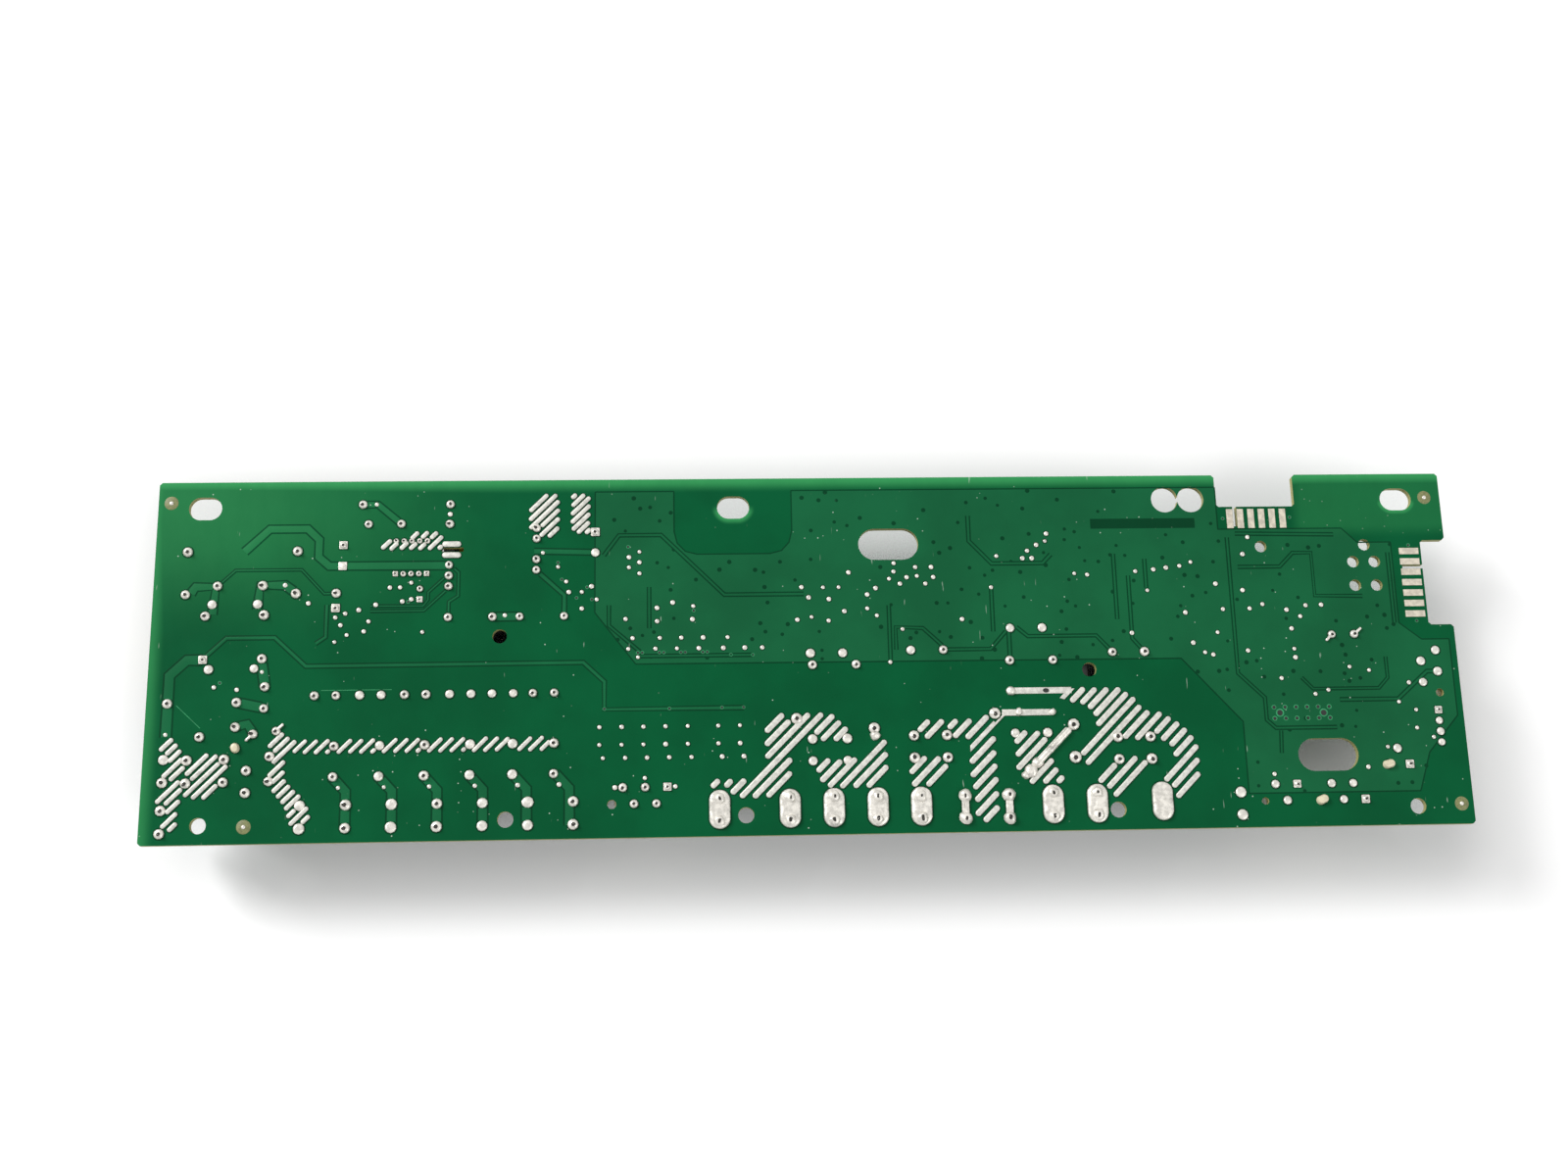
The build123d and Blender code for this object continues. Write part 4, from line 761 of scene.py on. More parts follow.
class BOARD_OT_joints(bpy.types.Operator):
    """Freezes a cone of solder round each lead and a drop in each plated hole"""

    bl_idname = "board.joints"
    bl_label = "Joints"

    def execute(self, context):
        look = context.scene.board_solder
        tin, lead = bpy.data.materials["frozen_tin"], bpy.data.materials["lead_end_and_shade"]
        chance = random.Random(5)
        # Inside radius 0.35 the cone takes the near-black lead end, which paints the shade and dark reflection
        # at the joint's tip
        cone = turned([
            (1.0, 0.0), (0.96, 0.27), (0.77, 0.44), (0.52, 0.55), (0.37, 0.59), (0.31, 0.99), (0.0, 1.05),
        ], look.steps, 0.35)
        blob = turned([(1.0, 0.0), (0.97, 0.36), (0.8, 0.76), (0.4, 0.94), (0.0, 0.86)], look.steps)
        land = bmesh.new()
        bmesh.ops.create_cube(land, size=1.0)
        eased(land, 0.08 / MM, 2)
        mesh, rims = bmesh.new(), bmesh.new()
        rim = turned([(1.0, 0.0), (0.97, 0.055), (0.0, 0.055)], 18)
        for low, high in solids("lead_joints"):
            where, radius = middle_of(low, high, HIGH.z), (high.x - low.x) / 2
            spot = where.to_2d()
            radius *= chance.uniform(0.96, 1.06)
            flat = near(spot, FLAT_JOINTS)
            tall = chance.uniform(0.42, 0.58) if flat else look.joint_height * chance.uniform(0.86, 1.1)
            if radius < 0.8 * MM:
                tall *= 0.75
            if near(spot, SQUARE_LANDS):
                raised = where + Vector((0, 0, 0.12 * MM))
                stamp(mesh, land, placed(raised, (radius * 1.75, radius * 1.75, 0.24 * MM)))
                stamp(rims, land, placed(where, (radius * 2.15, radius * 2.15, 0.1 * MM)))
                radius *= 0.8
            else:
                stamp(rims, rim, placed(where, (radius + 0.26 * MM, radius + 0.26 * MM, MM)))
            size = (radius, radius, tall * MM)
            fresh = stamp(mesh, blob if flat else cone, placed(where, size, chance.uniform(0, 6)))
            lean = Vector((chance.gauss(-0.08, 0.12), chance.gauss(-0.12, 0.12), 0)) * radius
            for vertex in fresh:
                share = (vertex.co.z - HIGH.z) / (tall * MM)
                vertex.co += lean * share ** 2
                vertex.co.z = min(vertex.co.z, HIGH.z + TOP_OF_SOLDER)
        for spot, turn in BENT_LEADS:
            self.bent(mesh, spot, math.radians(turn))
        piece("solder_cones", mesh, [tin, lead], ("lead_joints",), 60.0)
        drop = turned([(1.0, 0.0), (0.96, 0.35), (0.7, 0.8), (0.0, 1.0)], 10)
        mesh = bmesh.new()
        for low, high in solids("plated_holes"):
            where = middle_of(low, high, HIGH.z)
            target = near(where.to_2d(), TARGETS)
            radius = (0.5 if target else chance.uniform(0.46, 0.6)) * MM
            stamp(mesh, drop, placed(where, (radius, radius, chance.uniform(0.24, 0.34) * MM)))
            if not target:
                stamp(rims, rim, placed(where, (radius + 0.18 * MM, radius + 0.18 * MM, MM)))
        piece("filled_vias", mesh, [tin], ("plated_holes",), 60.0)
        piece("joint_clearances", rims, [bpy.data.materials["mask_in_clearances_and_shade"]])
        return {"FINISHED"}

    def bent(self, mesh, spot, turn):
        """A lead bent over and soldered down."""
        stub = drawn_out([(0.3, 0.0), (0.34, 0.25), (0.24, 0.46), (0.0, 0.52)], 8, 1.5)
        reach = Vector((math.cos(turn), math.sin(turn), 0)) * 1.2 * MM
        stamp_once(mesh, stub, placed(at(*spot, 0.1) + reach, turn=turn - math.pi / 2))


class BOARD_OT_pads(bpy.types.Operator):
    """Floods the long pads of the tab terminals with solder"""

    bl_idname = "board.pads"
    bl_label = "Terminal pads"

    def execute(self, context):
        chance = random.Random(9)
        tin, lead = bpy.data.materials["frozen_tin"], bpy.data.materials["lead_end_and_shade"]
        swell = turned([(1.5, 0.0), (1.32, 0.3), (0.98, 0.64), (0.6, 0.86), (0.0, 0.82)], 14)
        leg = drawn_out([(0.6, 0.0), (0.56, 0.45), (0.38, 0.84), (0.0, 0.95)], 10, 0.45)
        # The legs take the near-black lead end, painted shade and dark reflection at the pads' tips
        for face in leg.faces:
            face.material_index = 1
        mesh, rims = bmesh.new(), bmesh.new()
        for low, high in solids("terminal_pads"):
            where = middle_of(low, high, HIGH.z)
            width, length = (high.x - low.x) / MM, (high.y - low.y) / MM
            wide = width > 4
            radius, hump = (width / 2, 0.78) if wide else (0.85, 0.55)
            neck = length - 2 * radius
            cushion = drawn_out([
                (radius, 0.0), (radius * 0.985, hump * 0.5), (radius * 0.9, hump * 0.85),
                (radius * 0.6, hump), (0.0, hump),
            ], 22, neck)
            spans = [edge for edge in cushion.edges if edge.calc_length() > 1.6]
            bmesh.ops.subdivide_edges(cushion, edges=spans, cuts=4, use_grid_fill=True)
            for vertex in stamp(mesh, cushion, placed(where)):
                if vertex.co.z > HIGH.z + FOOT_OF_SOLDER:
                    vertex.co.z += 0.3 * MM * noise.noise(vertex.co * 700)
            stamp_once(rims, halo(radius + 0.28, 0.05, 22, neck), placed(where))
            if wide and high.z - HIGH.z < MM:
                continue
            for side in (-1, 1):
                shift = Vector((chance.gauss(0, 0.1), side * 2.55 + chance.gauss(0, 0.1) - 0.15, 0)) * MM
                size = chance.uniform(0.85, 1.1) * (0.72 if side > 0 else 1.0) * MM
                foot = where + shift
                fresh = [*stamp(mesh, swell, placed(foot + Vector((0, 0, 0.38 * MM)), (MM, MM, 1.1 * MM)))]
                fresh += stamp(mesh, leg, placed(foot + Vector((0, 0, 0.5 * MM)), (size, size, MM)))
                for vertex in fresh:
                    vertex.co += 0.28 * MM * noise.noise_vector(vertex.co * 900)
                    vertex.co.z = min(vertex.co.z, HIGH.z + TOP_OF_SOLDER)
        piece("flooded_pads", mesh, [tin, lead], ("terminal_pads",), 50.0)
        resin = mottled("resin", (0.78, 0.70, 0.50), 0.3, scale=900.0, spread=0.1)
        mesh = bmesh.new()
        for spot, length, turn in RESIN_DROPS:
            oval = drawn_out([(1.0, 0.0), (0.96, 0.5), (0.7, 0.95), (0.0, 1.2)], 14, length)
            stamp_once(mesh, oval, placed(at(*spot), turn=math.radians(turn)))
        piece("resin_drops", mesh, [resin])
        piece("pad_clearances", rims, [bpy.data.materials["mask_in_clearances_and_shade"]])
        return {"FINISHED"}


class BOARD_OT_tinning(bpy.types.Operator):
    """Draws the tinned strips of the hatched copper as round-ended beads of solder"""

    bl_idname = "board.tinning"
    bl_label = "Tinned strips"

    def line(self, group):
        """The middle, half length, width and turn of a straight strip, or nothing for another shape."""
        for angle in (math.pi / 4, 0.0, math.pi / 2):
            along = Vector((math.cos(angle), math.sin(angle), 0))
            across = Vector((-along.y, along.x, 0))
            shifts = [vertex.co.dot(across) for vertex in group]
            low, high = min(shifts), max(shifts)
            if high - low > WIDEST_STRIP:
                continue
            ends = [[], []]
            for vertex, shift in zip(group, shifts):
                ends[shift > (low + high) / 2].append(vertex.co.dot(along))
            start, end = (sum(choose(reach) for reach in ends) / 2 for choose in (min, max))
            if end - start > 0.9 * (high - low):
                middle = along * (start + end) / 2 + across * (low + high) / 2
                return middle, (end - start) / 2 / MM, (high - low) / MM, angle - math.pi / 2
        return None

    def execute(self, context):
        chance = random.Random(3)
        shadows = bmesh.new()
        for node in ("supply_tinning", "mains_tinning", "bank_tinning", "oven_tinning"):
            mesh = merged(node)
            strips = bmesh.new()
            for group in list(islands(mesh)):
                found = self.line(group)
                if not found:
                    continue
                middle, half, width, turn = found
                swell = 1.27 if node == "oven_tinning" else 0.98
                radius = width / 2 * chance.uniform(0.98, 1.06) * swell
                half = max(half + chance.uniform(0.0, 0.22), radius + 0.05)
                where = placed(Vector((middle.x, middle.y, HIGH.z)), turn=turn)
                neck = 2 * (half - radius)
                stamp_once(strips, drawn_out([
                    (radius, 0.0), (radius * 0.985, 0.15), (radius * 0.88, 0.29),
                    (radius * 0.55, 0.36), (0.0, 0.38),
                ], 14, neck), where)
                stamp_once(shadows, halo(radius + 0.2, 0.045, 14, neck), where)
                bmesh.ops.delete(mesh, geom=group, context="VERTS")
            crest = HIGH.z + FOOT_OF_SOLDER
            eased(mesh, 0.17, 2, chosen=lambda edge: min(vertex.co.z for vertex in edge.verts) > crest)
            stamp_once(mesh, strips, Matrix())
            for vertex in mesh.verts:
                if vertex.co.z > crest:
                    vertex.co.z += 0.06 * MM * noise.noise(vertex.co * 700)
            tin = bpy.data.materials["strip_tin"]
            piece(node.replace("tinning", "strips"), mesh, [tin], (node,), 55.0)
        piece("strip_clearances", shadows, [bpy.data.materials["mask_in_clearances_and_shade"]])
        self.bridges()
        return {"FINISHED"}

    def bridges(self):
        """Adds the bead and the heaps of solder over the strips, and the one spot that stayed bare."""
        mesh = bmesh.new()
        bar = drawn_out([(0.8, 0.0), (0.78, 0.35), (0.66, 0.7), (0.38, 0.92), (0.0, 0.98)], 14, 10.6)
        stamp_once(mesh, bar, placed(at(203.9, 18.9), turn=-math.pi / 4))
        heap = turned([(1.5, 0.0), (1.45, 0.3), (1.15, 0.62), (0.6, 0.85), (0.0, 0.9)], 16)
        for spot, size in SOLDER_HEAPS:
            for vertex in stamp(mesh, heap, placed(at(*spot), (size * MM, size * MM, MM))):
                vertex.co += 0.3 * MM * noise.noise_vector(vertex.co * 800)
                vertex.co.z = max(vertex.co.z, HIGH.z)
        piece("bridges", mesh, [bpy.data.materials["frozen_tin"]], smooth=60.0)
        # The bare spot is drawn in the near-black painted shade of the open holes
        hole = turned([(0.62, 0.0), (0.55, 0.46), (0.0, 0.46)], 14)
        mesh = bmesh.new()
        stamp_once(mesh, hole, placed(at(203, 32), (1.25 * MM, 0.9 * MM, MM)))
        piece("bare_spot", mesh, [bpy.data.materials["hole_shade"]])


# ---------------------------------------------------------------- the parts under the board
class BOARD_OT_relays(bpy.types.Operator):
    """Moulds the relay covers, with their seams, recessed tops and vent nibs"""

    bl_idname = "board.relays"
    bl_label = "Relays"

    def execute(self, context):
        cover = tuple(context.scene.board_parts.relay)
        black = mottled("relay_cover", cover, 0.42, scale=350.0, depth=0.01, fine=14.0)
        nib = turned([(0.9, 0.1), (0.85, -0.16), (0.5, -0.18), (0.42, 0.05), (0.0, 0.05)], 16)
        for node in [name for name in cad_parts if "_relay_" in name]:
            low, high = box(node)
            mesh = eased(merged(node), 0.22)
            bmesh.ops.recalc_face_normals(mesh, faces=mesh.faces)
            lids = [face for face in mesh.faces if all(vertex.co.z < low.z + SAME for vertex in face.verts)]
            for rim in (0.5, 0.12):
                bmesh.ops.inset_region(mesh, faces=lids, thickness=rim * MM)
            recess = list({vertex for face in lids for vertex in face.verts})
            bmesh.ops.translate(mesh, verts=recess, vec=(0, 0, 0.2 * MM))
            stamp(mesh, nib, placed(Vector((high.x - 2.6 * MM, high.y - 2.6 * MM, low.z + 0.22 * MM))))
            bmesh.ops.recalc_face_normals(mesh, faces=mesh.faces)
            piece(f"{node}_cover", mesh, [black], (node,))
        return {"FINISHED"}


class BOARD_OT_tabs(bpy.types.Operator):
    """Stamps the tab terminals, with their eyes, shoulders and legs"""

    bl_idname = "board.tabs"
    bl_label = "Tab terminals"

    def blade(self, width, height):
        """A blade in the YZ plane, its legs at z = 0 and its tip at -height."""
        half, thick, leg = width / 2 * MM, 0.8 * MM, 1.4 * MM
        mesh = bmesh.new()
        eye = bmesh.ops.create_circle(mesh, segments=16, radius=0.85 * MM)["verts"]
        bmesh.ops.rotate(mesh, verts=eye, matrix=Matrix.Rotation(math.pi / 2, 3, "Y"))
        for vertex in new_vertices(bmesh.ops.extrude_edge_only(mesh, edges=mesh.edges[:])):
            vertex.co *= half / max(abs(vertex.co.y), abs(vertex.co.z))
            if vertex.co.z < -0.99 * half:
                vertex.co.y *= 0.62
        foot = [edge for edge in mesh.edges if all(vertex.co.z > 0.99 * half for vertex in edge.verts)]
        lower = new_vertices(bmesh.ops.extrude_edge_only(mesh, edges=foot))
        bmesh.ops.translate(mesh, verts=lower, vec=(0, 0, height * MM - leg - 2 * half))
        bmesh.ops.translate(mesh, verts=mesh.verts, vec=(thick / 2, 0, half - height * MM))
        back = new_vertices(bmesh.ops.extrude_face_region(mesh, geom=mesh.faces[:]))
        bmesh.ops.translate(mesh, verts=back, vec=(-thick, 0, 0))
        for side in (-1, 1):
            block(mesh, (thick, 1.3 * MM, 1.42 * MM), Vector((0, side * (half - 0.6 * MM), -0.71 * MM)))
        bmesh.ops.recalc_face_normals(mesh, faces=mesh.faces)
        return eased(mesh, 0.1, 1, 0.9)

    def execute(self, context):
        metal = mottled("tinned_brass", (0.72, 0.69, 0.62), 0.3, 0.85, scale=420.0, spread=0.07, depth=0.004)
        for node, width in (("tab_terminals", 6.3), ("slim_tab_terminals", 4.8)):
            mesh = bmesh.new()
            for low, high in solids(node):
                blade = self.blade(width, (high.z - low.z) / MM)
                stamp_once(mesh, blade, Matrix.Translation(middle_of(low, high, high.z)))
            piece(node.replace("terminals", "blades"), mesh, [metal], (node,))
        painted("header_pins", metal)
        return {"FINISHED"}


class BOARD_OT_cans(bpy.types.Operator):
    """Rolls the electrolytic cans in their sleeves, and turns the fuse and the drum choke"""

    bl_idname = "board.cans"
    bl_label = "Cans"

    def room(self, node):
        """A CAD node's radius and height in millimetres, and the matrix that stands a turned shape there."""
        low, high = box(node)
        return (high.x - low.x) / 2 / MM, (high.z - low.z) / MM, placed(middle_of(low, high, low.z))

    def stood(self, name, mesh, place, materials, slot, node):
        """Makes a piece of a turned shape in the place of a CAD node."""
        bmesh.ops.transform(mesh, matrix=place, verts=mesh.verts)
        piece(name, mesh, materials, (node,))

    def execute(self, context):
        look = context.scene.board_parts
        sleeve = mottled("can_sleeve", tuple(look.sleeve), 0.3, scale=300.0, depth=0.006, coat_weight=0.4)
        metal = mottled("can_aluminium", (0.66, 0.67, 0.68), 0.35, 0.9, scale=900.0, spread=0.08)
        for node in ("bulk_can", "second_can", "bias_can", "output_can", "memory_can"):
            radius, tall, place = self.room(node)
            can = turned([
                (0.0, 0.25), (radius - 1.1, 0.25), (radius - 0.8, 0.0), (radius - 0.4, 0.0), (radius, 0.4),
                (radius, tall - 2.7), (radius - 0.35, tall - 2.2), (radius - 0.35, tall - 1.9),
                (radius, tall - 1.4), (radius, tall - 0.3), (radius - 0.3, tall), (0.0, tall),
            ], 40)
            for face in can.faces:
                where = face.calc_center_median()
                face.material_index = int(where.z < 0.3 and where.to_2d().length < radius - 0.7)
            for turn in (0, math.pi / 2):
                block(can, (radius * 1.25, 0.22, 0.12), Vector((0, 0, 0.24)), 1, turn)
            self.stood(f"{node}_sleeved", can, place, [sleeve, metal], "can_sleeve", node)
        black = mottled("moulded_black", (0.022, 0.022, 0.022), 0.5, scale=500.0, fine=10.0)
        radius, tall, place = self.room("fuse")
        cap = turned([
            (0.0, 0.2), (radius - 1.2, 0.2), (radius - 1.0, 0.0), (radius - 0.5, 0.0), (radius, 0.5),
            (radius, tall - 1.6), (radius - 0.3, tall - 1.4), (radius - 0.3, tall), (0.0, tall),
        ], 40)
        self.stood("fuse_cap", cap, place, [black], "black_moulding", "fuse")
        self.drum(context)
        painted("board_post", black)
        return {"FINISHED"}

    def drum(self, context):
        """The drum choke: two flanges, and the turns of wire between them."""
        radius, tall, place = self.room("drum_choke")
        pitch, flange, inner = 0.46, 1.7, radius - 0.2
        profile = [(0.0, 0.0), (inner, 0.0), (radius, 0.2), (radius, flange - 0.2), (inner, flange)]
        for i in range(int((tall - 2 * flange) / pitch)):
            profile += [(radius - 0.75, flange + pitch * i), (radius - 0.55, flange + pitch * (i + 0.5))]
        profile += [(radius - 0.75, tall - flange), (inner, tall - flange), (radius, tall - flange + 0.2)]
        choke = turned(profile + [(radius, tall - 0.2), (inner, tall), (0.0, tall)], 32)
        for face in choke.faces:
            where = face.calc_center_median()
            between = flange < where.z < tall - flange
            face.material_index = int(between and where.to_2d().length < radius - 0.4)
        self.stood("drum_choke_wound", choke, place, [ferrite(), enamel(context)], "ferrite", "drum_choke")


def ferrite():
    """Grey sintered ferrite."""
    made = bpy.data.materials.get("ferrite")
    return made or mottled("ferrite", (0.045, 0.045, 0.048), 0.55, scale=1200.0, depth=0.03)


def enamel(context):
    """Enamelled copper wire."""
    wire = tuple(context.scene.board_parts.wire)
    made = bpy.data.materials.get("enamelled_wire")
    return made or mottled("enamelled_wire", wire, 0.28, 0.75, scale=800.0, spread=0.15)


class BOARD_OT_capacitors(bpy.types.Operator):
    """Dips the discs in their coats and pots the film capacitors in their boxes"""

    bl_idname = "board.capacitors"
    bl_label = "Capacitors and discs"

    def execute(self, context):
        look = context.scene.board_parts
        film = mottled("film_box", tuple(look.film), 0.38, scale=400.0, spread=0.1, depth=0.01)
        boxes = ("x_capacitor_left", "x_capacitor_right", "line_capacitor", "surge_capacitor")
        eased_pieces(boxes, "box", film, 0.3, 3)
        discs = ("feed_capacitor", "snubber_disc", "y_capacitor_left", "y_capacitor_right")
        coats = {"varistor": look.varistor, "thermistor": look.thermistor, **dict.fromkeys(discs, look.disc)}
        for node, coat in coats.items():
            fixed = {"spread": 0.12, "depth": 0.03, "fine": 3.0, "coat_weight": 0.3}
            dipped = mottled(f"{node}_coat", tuple(coat), 0.3, scale=500.0, **fixed)
            made = piece(f"{node}_dipped", merged(node), [dipped], (node,), 80.0)
            swell = made.modifiers.new("dip", "SUBSURF")
            swell.levels = swell.render_levels = 2
        return {"FINISHED"}


class BOARD_OT_wound_parts(bpy.types.Operator):
    """Winds the mains choke and tapes the transformer"""

    bl_idname = "board.wound_parts"
    bl_label = "Choke and transformer"

    def winding(self, low, high, gauge):
        """Turns of wire, in metres, that fill a box along X, squarer than round."""
        per_turn = 12
        room = high - low - Vector((gauge, gauge, gauge))
        middle = (low + high) / 2
        steps = int((high.x - low.x) / (gauge * 1.08)) * per_turn
        strand = []
        for i in range(steps + 1):
            angle = 2 * math.pi * i / per_turn
            sideways, upright = math.cos(angle), math.sin(angle)
            square = 1 / max(abs(sideways), abs(upright)) ** 0.6
            x = low.x + gauge / 2 + room.x * i / steps
            where = (x, middle.y + sideways * square * room.y / 2, middle.z + upright * square * room.z / 2)
            strand.append((where, 1.0))
        mesh = swept("NURBS", gauge / 2, [strand])
        for vertex in mesh.verts:
            for i in range(3):
                vertex.co[i] = min(max(vertex.co[i], low[i]), high[i])
        bmesh.ops.recalc_face_normals(mesh, faces=mesh.faces)
        return mesh

    def execute(self, context):
        look = context.scene.board_parts
        nodes = ("choke_windings",)
        for index, (low, high) in enumerate(solids("choke_windings"), 1):
            mesh = self.winding(low, high, look.wire_gauge * MM)
            piece(f"choke_winding_{index}", mesh, [enamel(context)], nodes, 80.0)
            nodes = ()
        eased_pieces(("choke_core", "transformer_core"), "ground", ferrite(), 0.2)
        black = bpy.data.materials["moulded_black"]
        eased_pieces(("choke_base", "transformer_bobbin"), "moulded", black, 0.15, 1)
        tape = Finish("winding_tape", tuple(look.tape), 0.25, coat_weight=0.3)
        crease = tape.grain(250.0, 4.0, 0.6, (1.0, 0.2, 1.0))
        # Painted shade and highlight: the tape is darker in the hollows of its creases and lighter on their
        # ridges, from the same noise as its bump
        dark, light = shaded(look.tape, 0.75), shaded(look.tape, 1.15)
        tape.set("Base Color", tape.mix(crease.rising(0.35, 0.7), dark, light))
        tape.bump(crease, 0.12)
        node = "transformer_winding"
        piece("transformer_tape", eased(merged(node), 0.35, 3), [tape.material], (node,))
        return {"FINISHED"}


class BOARD_OT_headers(bpy.types.Operator):
    """Moulds the pin headers"""

    bl_idname = "board.headers"
    bl_label = "Pin headers"

    def execute(self, context):
        shell = tuple(context.scene.board_parts.header)
        fixed = {"spread": 0.05, "depth": 0.01, "subsurface_weight": 0.08}
        nylon = mottled("header_shell", shell, 0.45, scale=300.0, **fixed)
        headers = [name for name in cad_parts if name.endswith("_header")]
        eased_pieces(headers, "shell", nylon, 0.12)
        return {"FINISHED"}


class BOARD_OT_chips(bpy.types.Operator):
    """Moulds the chips and bends their leads"""

    bl_idname = "board.chips"
    bl_label = "Chips"

    def chip(self, mesh, low, high, leads, along, reach):
        """A chip body with a mark by its first lead, and on each side a row of bent leads that reach out."""
        middle, size = (low + high) / 2, high - low
        across = Vector((along.y, along.x, 0))
        body = size - across * 2 * reach - Vector((0, 0, 0.2 * MM))
        shell = bmesh.new()
        block(shell, body, middle - Vector((0, 0, 0.1 * MM)))
        stamp_once(mesh, eased(shell, 0.2, 2), Matrix())
        half, wide = body.dot(along) / 2, body.dot(across) / 2
        corner = middle - along * (half - 1.1 * MM) - across * (wide - 1.1 * MM)
        mark = turned([(0.55, 0.0), (0.45, 0.06), (0.0, 0.06)], 14)
        stamp_once(mesh, mark, placed(Vector((corner.x, corner.y, low.z - SAME))))
        thick, below = 0.2 * MM, high.z - middle.z
        pitch = half * 2 * 0.94 / leads
        width = max(0.35 * MM, pitch * 0.42)
        # Each bend: its place and length as shares of the reach, its height and its level
        bends = (
            (0.3, 0.62, thick, middle.z - 0.1 * MM),
            (0.55, 0.3, below, middle.z + below / 2 - 0.05 * MM),
            (0.74, 0.5, thick, high.z - thick / 2),
        )
        for i in range(leads):
            for side in (-1, 1):
                start = middle + along * pitch * (i - (leads - 1) / 2) + across * side * wide
                for out, length, height, level in bends:
                    where = start + across * side * reach * out
                    where.z = level
                    block(mesh, across * length * reach + along * width + Vector((0, 0, height)), where, 1)

    def execute(self, context):
        epoxy = mottled("chip_epoxy", (0.018, 0.018, 0.019), 0.55, scale=900.0, fine=5.0)
        leads = bpy.data.materials["tinned_brass"]
        long, short = Vector((1, 0, 0)), Vector((0, 1, 0))
        # Leads on each side, the way the rows run, and the leads' reach in millimetres
        rows = {
            "relay_drivers": (8, long, 1.0),
            "microcontroller": (12, long, 0.8),
            "switcher_chip": (5, long, 0.5),
            "optocouplers": (2, long, 0.5),
            "bridge_rectifier": (2, short, 0.6),
        }
        for node, (count, along, reach) in rows.items():
            mesh = bmesh.new()
            for low, high in solids(node):
                self.chip(mesh, low, high, count, along, reach * MM)
            bmesh.ops.recalc_face_normals(mesh, faces=mesh.faces)
            piece(f"{node}_moulded", mesh, [epoxy, leads], (node,))
        mesh = bmesh.new()
        for low, high in solids("chip_resistors"):
            middle, size = (low + high) / 2, high - low
            block(mesh, size, middle, 1)
            block(mesh, size * Vector((0.68, 1.02, 1)), middle - Vector((0, 0, 0.01 * MM)))
        piece("resistor_chips", mesh, [epoxy, leads], ("chip_resistors",))
        return {"FINISHED"}


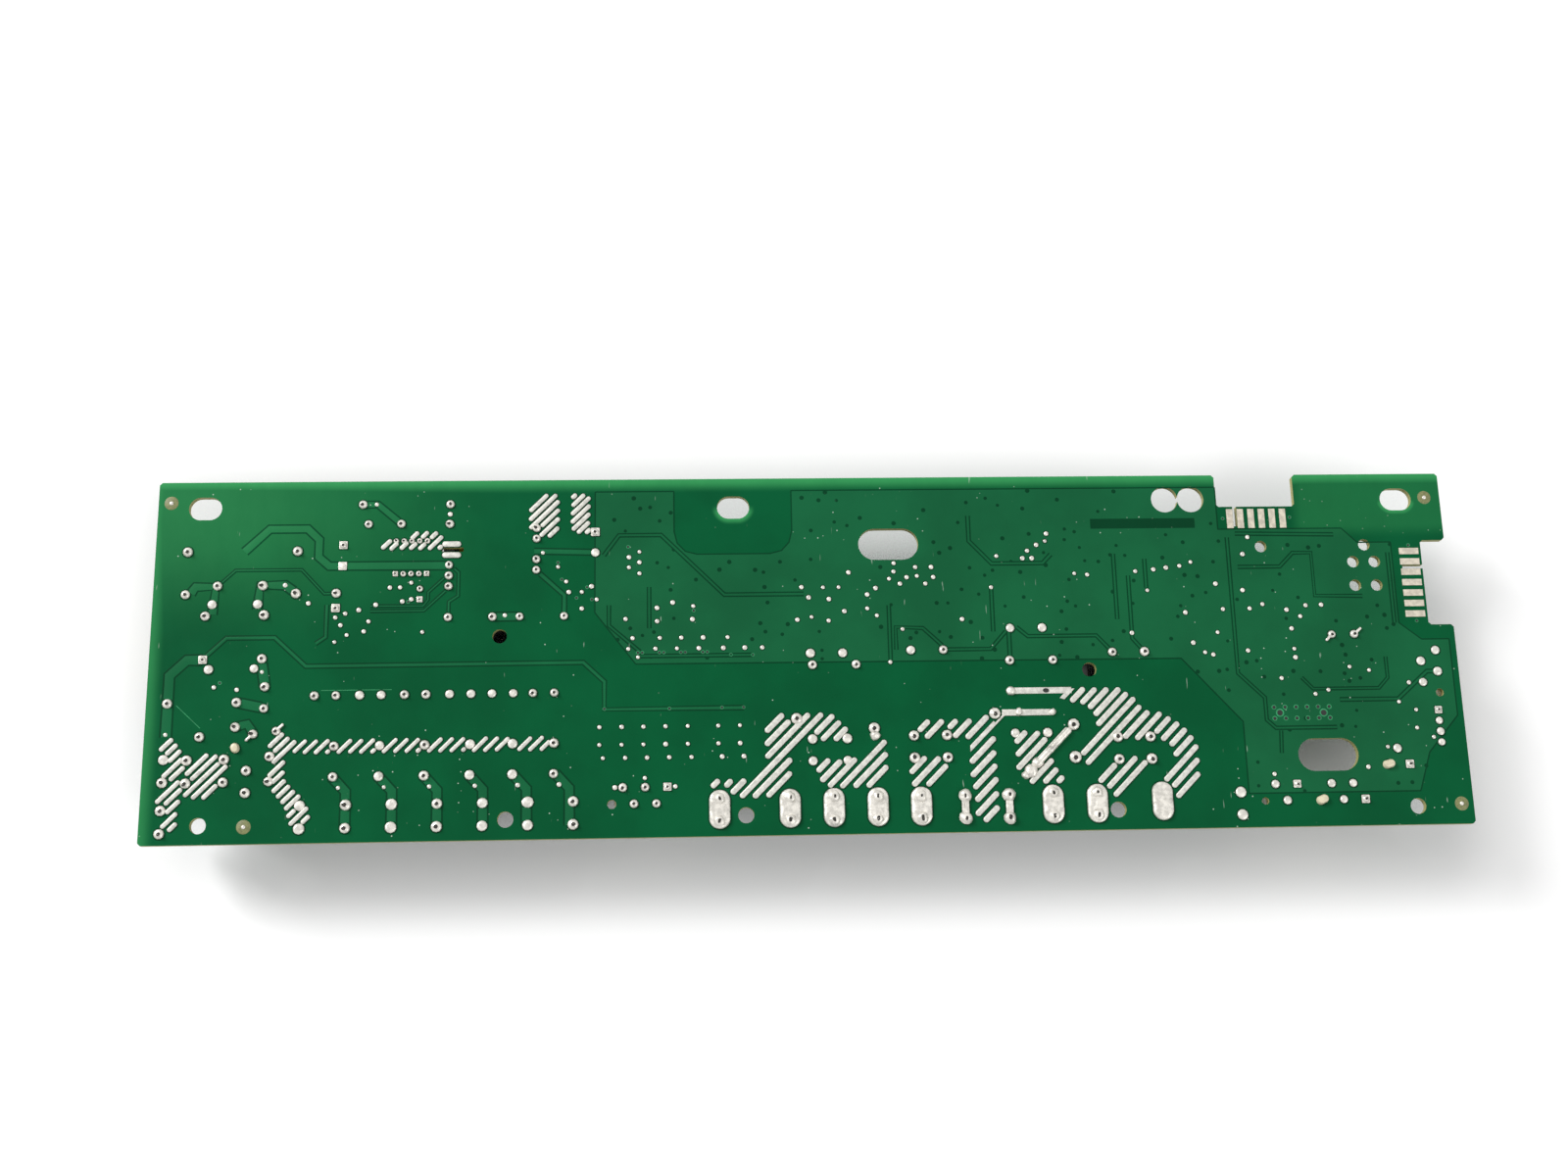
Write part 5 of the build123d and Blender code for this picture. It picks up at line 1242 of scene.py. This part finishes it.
# ---------------------------------------------------------------- stage
class BOARD_OT_stage(bpy.types.Operator):
    """Sets the pale floor, the soft light and the camera"""

    bl_idname = "board.stage"
    bl_label = "Stage"

    def floor(self, look):
        """A plain floor, which the camera sees white outside the board's shadow."""
        mesh = bmesh.new()
        bmesh.ops.create_grid(mesh, x_segments=1, y_segments=1, size=3.0)
        data = bpy.data.meshes.new("floor")
        mesh.to_mesh(data)
        mesh.free()
        floor = bpy.data.objects.new("floor", data)
        bpy.context.scene.collection.objects.link(floor)
        pale = Finish("pale_floor", tuple(look.floor), 0.9, emission_strength=1.0)
        camera, shown = pale.seen()
        pale.set("Base Color", pale.mix(shown, tuple(look.floor), (1.0, 1.0, 1.0)))
        reach = [(axis.maths("ABSOLUTE") - edge).most(0.0) for axis, edge in zip(pale.axes(), HIGH.to_2d())]
        away = (reach[0] * reach[0] + reach[1] * reach[1]) ** 0.5
        near_by, far_off = away.rising(0.0, 0.02), away.rising(0.1, 0.6)
        glow = camera * (near_by * look.backdrop + far_off * (1.0 - look.backdrop))
        pale.set("Emission Color", pale.mix(glow, (0.0, 0.0, 0.0), (1.0, 1.0, 1.0)))
        data.materials.append(pale.material)

    def light(self, scene, look):
        """A white world, dimmer for what it lights than for what it shows, and two soft lamps."""
        scene.world = bpy.data.worlds.new("soft_white")
        sky = Nodes(scene.world, "Background")
        sky.set("Strength", sky.seen()[1] * (1.0 - SKY_LIGHT) + SKY_LIGHT)
        sky.shader.inputs["Color"].default_value = (1, 1, 1, 1)
        for name, power, offset, size in (
            ("window", look.key, Vector((-1.3, 0.9, 1.1)), 0.75),
            ("fill", look.fill, Vector((1.1, -0.75, 1.2)), 1.1),
        ):
            lamp = bpy.data.lights.new(name, "AREA")
            lamp.energy = power
            lamp.size = size
            shown = bpy.data.objects.new(name, lamp)
            shown.location = (LOW + HIGH) / 2 + offset
            shown.rotation_euler = (-offset).to_track_quat("-Z", "Y").to_euler()
            scene.collection.objects.link(shown)

    def camera(self, scene, look):
        """The camera, held a little askew over the board."""
        camera = bpy.data.cameras.new("camera")
        camera.lens = look.lens
        camera.sensor_width = 36.0
        camera.clip_start = 0.01
        shown = bpy.data.objects.new("camera", camera)
        back = -CAMERA_AIM.normalized()
        right = (CAMERA_RIGHT - back * CAMERA_RIGHT.dot(back)).normalized()
        turn = Matrix((right, back.cross(right), back)).transposed()
        shown.matrix_world = Matrix.Translation(CAMERA_PLACE) @ turn.to_4x4()
        scene.collection.objects.link(shown)
        scene.camera = shown

    def execute(self, context):
        look = context.scene.board_stage
        self.floor(look)
        self.light(context.scene, look)
        self.camera(context.scene, look)
        context.scene.view_settings.view_transform = "Standard"
        return {"FINISHED"}


class BOARD_PT_panel(bpy.types.Panel):
    """Lists the pieces of the power board"""

    bl_idname = "BOARD_PT_panel"
    bl_label = "Power board"
    bl_space_type = "VIEW_3D"
    bl_region_type = "UI"
    bl_category = "Power board"

    def draw(self, context):
        for group, kind in PROPERTIES.items():
            for label in kind.__annotations__:
                self.layout.prop(getattr(context.scene, group), label)
        for operator in OPERATORS:
            self.layout.operator(operator.bl_idname)


PROPERTIES = {
    "board_mask": MaskProperties,
    "board_solder": SolderProperties,
    "board_parts": PartProperties,
    "board_stage": StageProperties,
}
OPERATORS = (
    BOARD_OT_stage, BOARD_OT_mask, BOARD_OT_copper, BOARD_OT_joints, BOARD_OT_pads, BOARD_OT_tinning,
    BOARD_OT_relays, BOARD_OT_tabs, BOARD_OT_cans, BOARD_OT_capacitors, BOARD_OT_wound_parts,
    BOARD_OT_headers, BOARD_OT_chips,
)


def register():
    """Registers the panel, the operators and their properties."""
    for group, kind in PROPERTIES.items():
        bpy.utils.register_class(kind)
        setattr(bpy.types.Scene, group, PointerProperty(type=kind))
    for kind in (*OPERATORS, BOARD_PT_panel):
        bpy.utils.register_class(kind)


def unregister():
    """Takes them away again."""
    for kind in (BOARD_PT_panel, *reversed(OPERATORS)):
        bpy.utils.unregister_class(kind)
    for group, kind in PROPERTIES.items():
        delattr(bpy.types.Scene, group)
        bpy.utils.unregister_class(kind)


def main():
    """Dresses the board."""
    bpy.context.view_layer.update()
    noise.seed_set(NOISE_SEED)
    register()
    for operator in OPERATORS:
        area, name = operator.bl_idname.split(".")
        getattr(getattr(bpy.ops, area), name)()


if __name__ == "__main__":
    main()
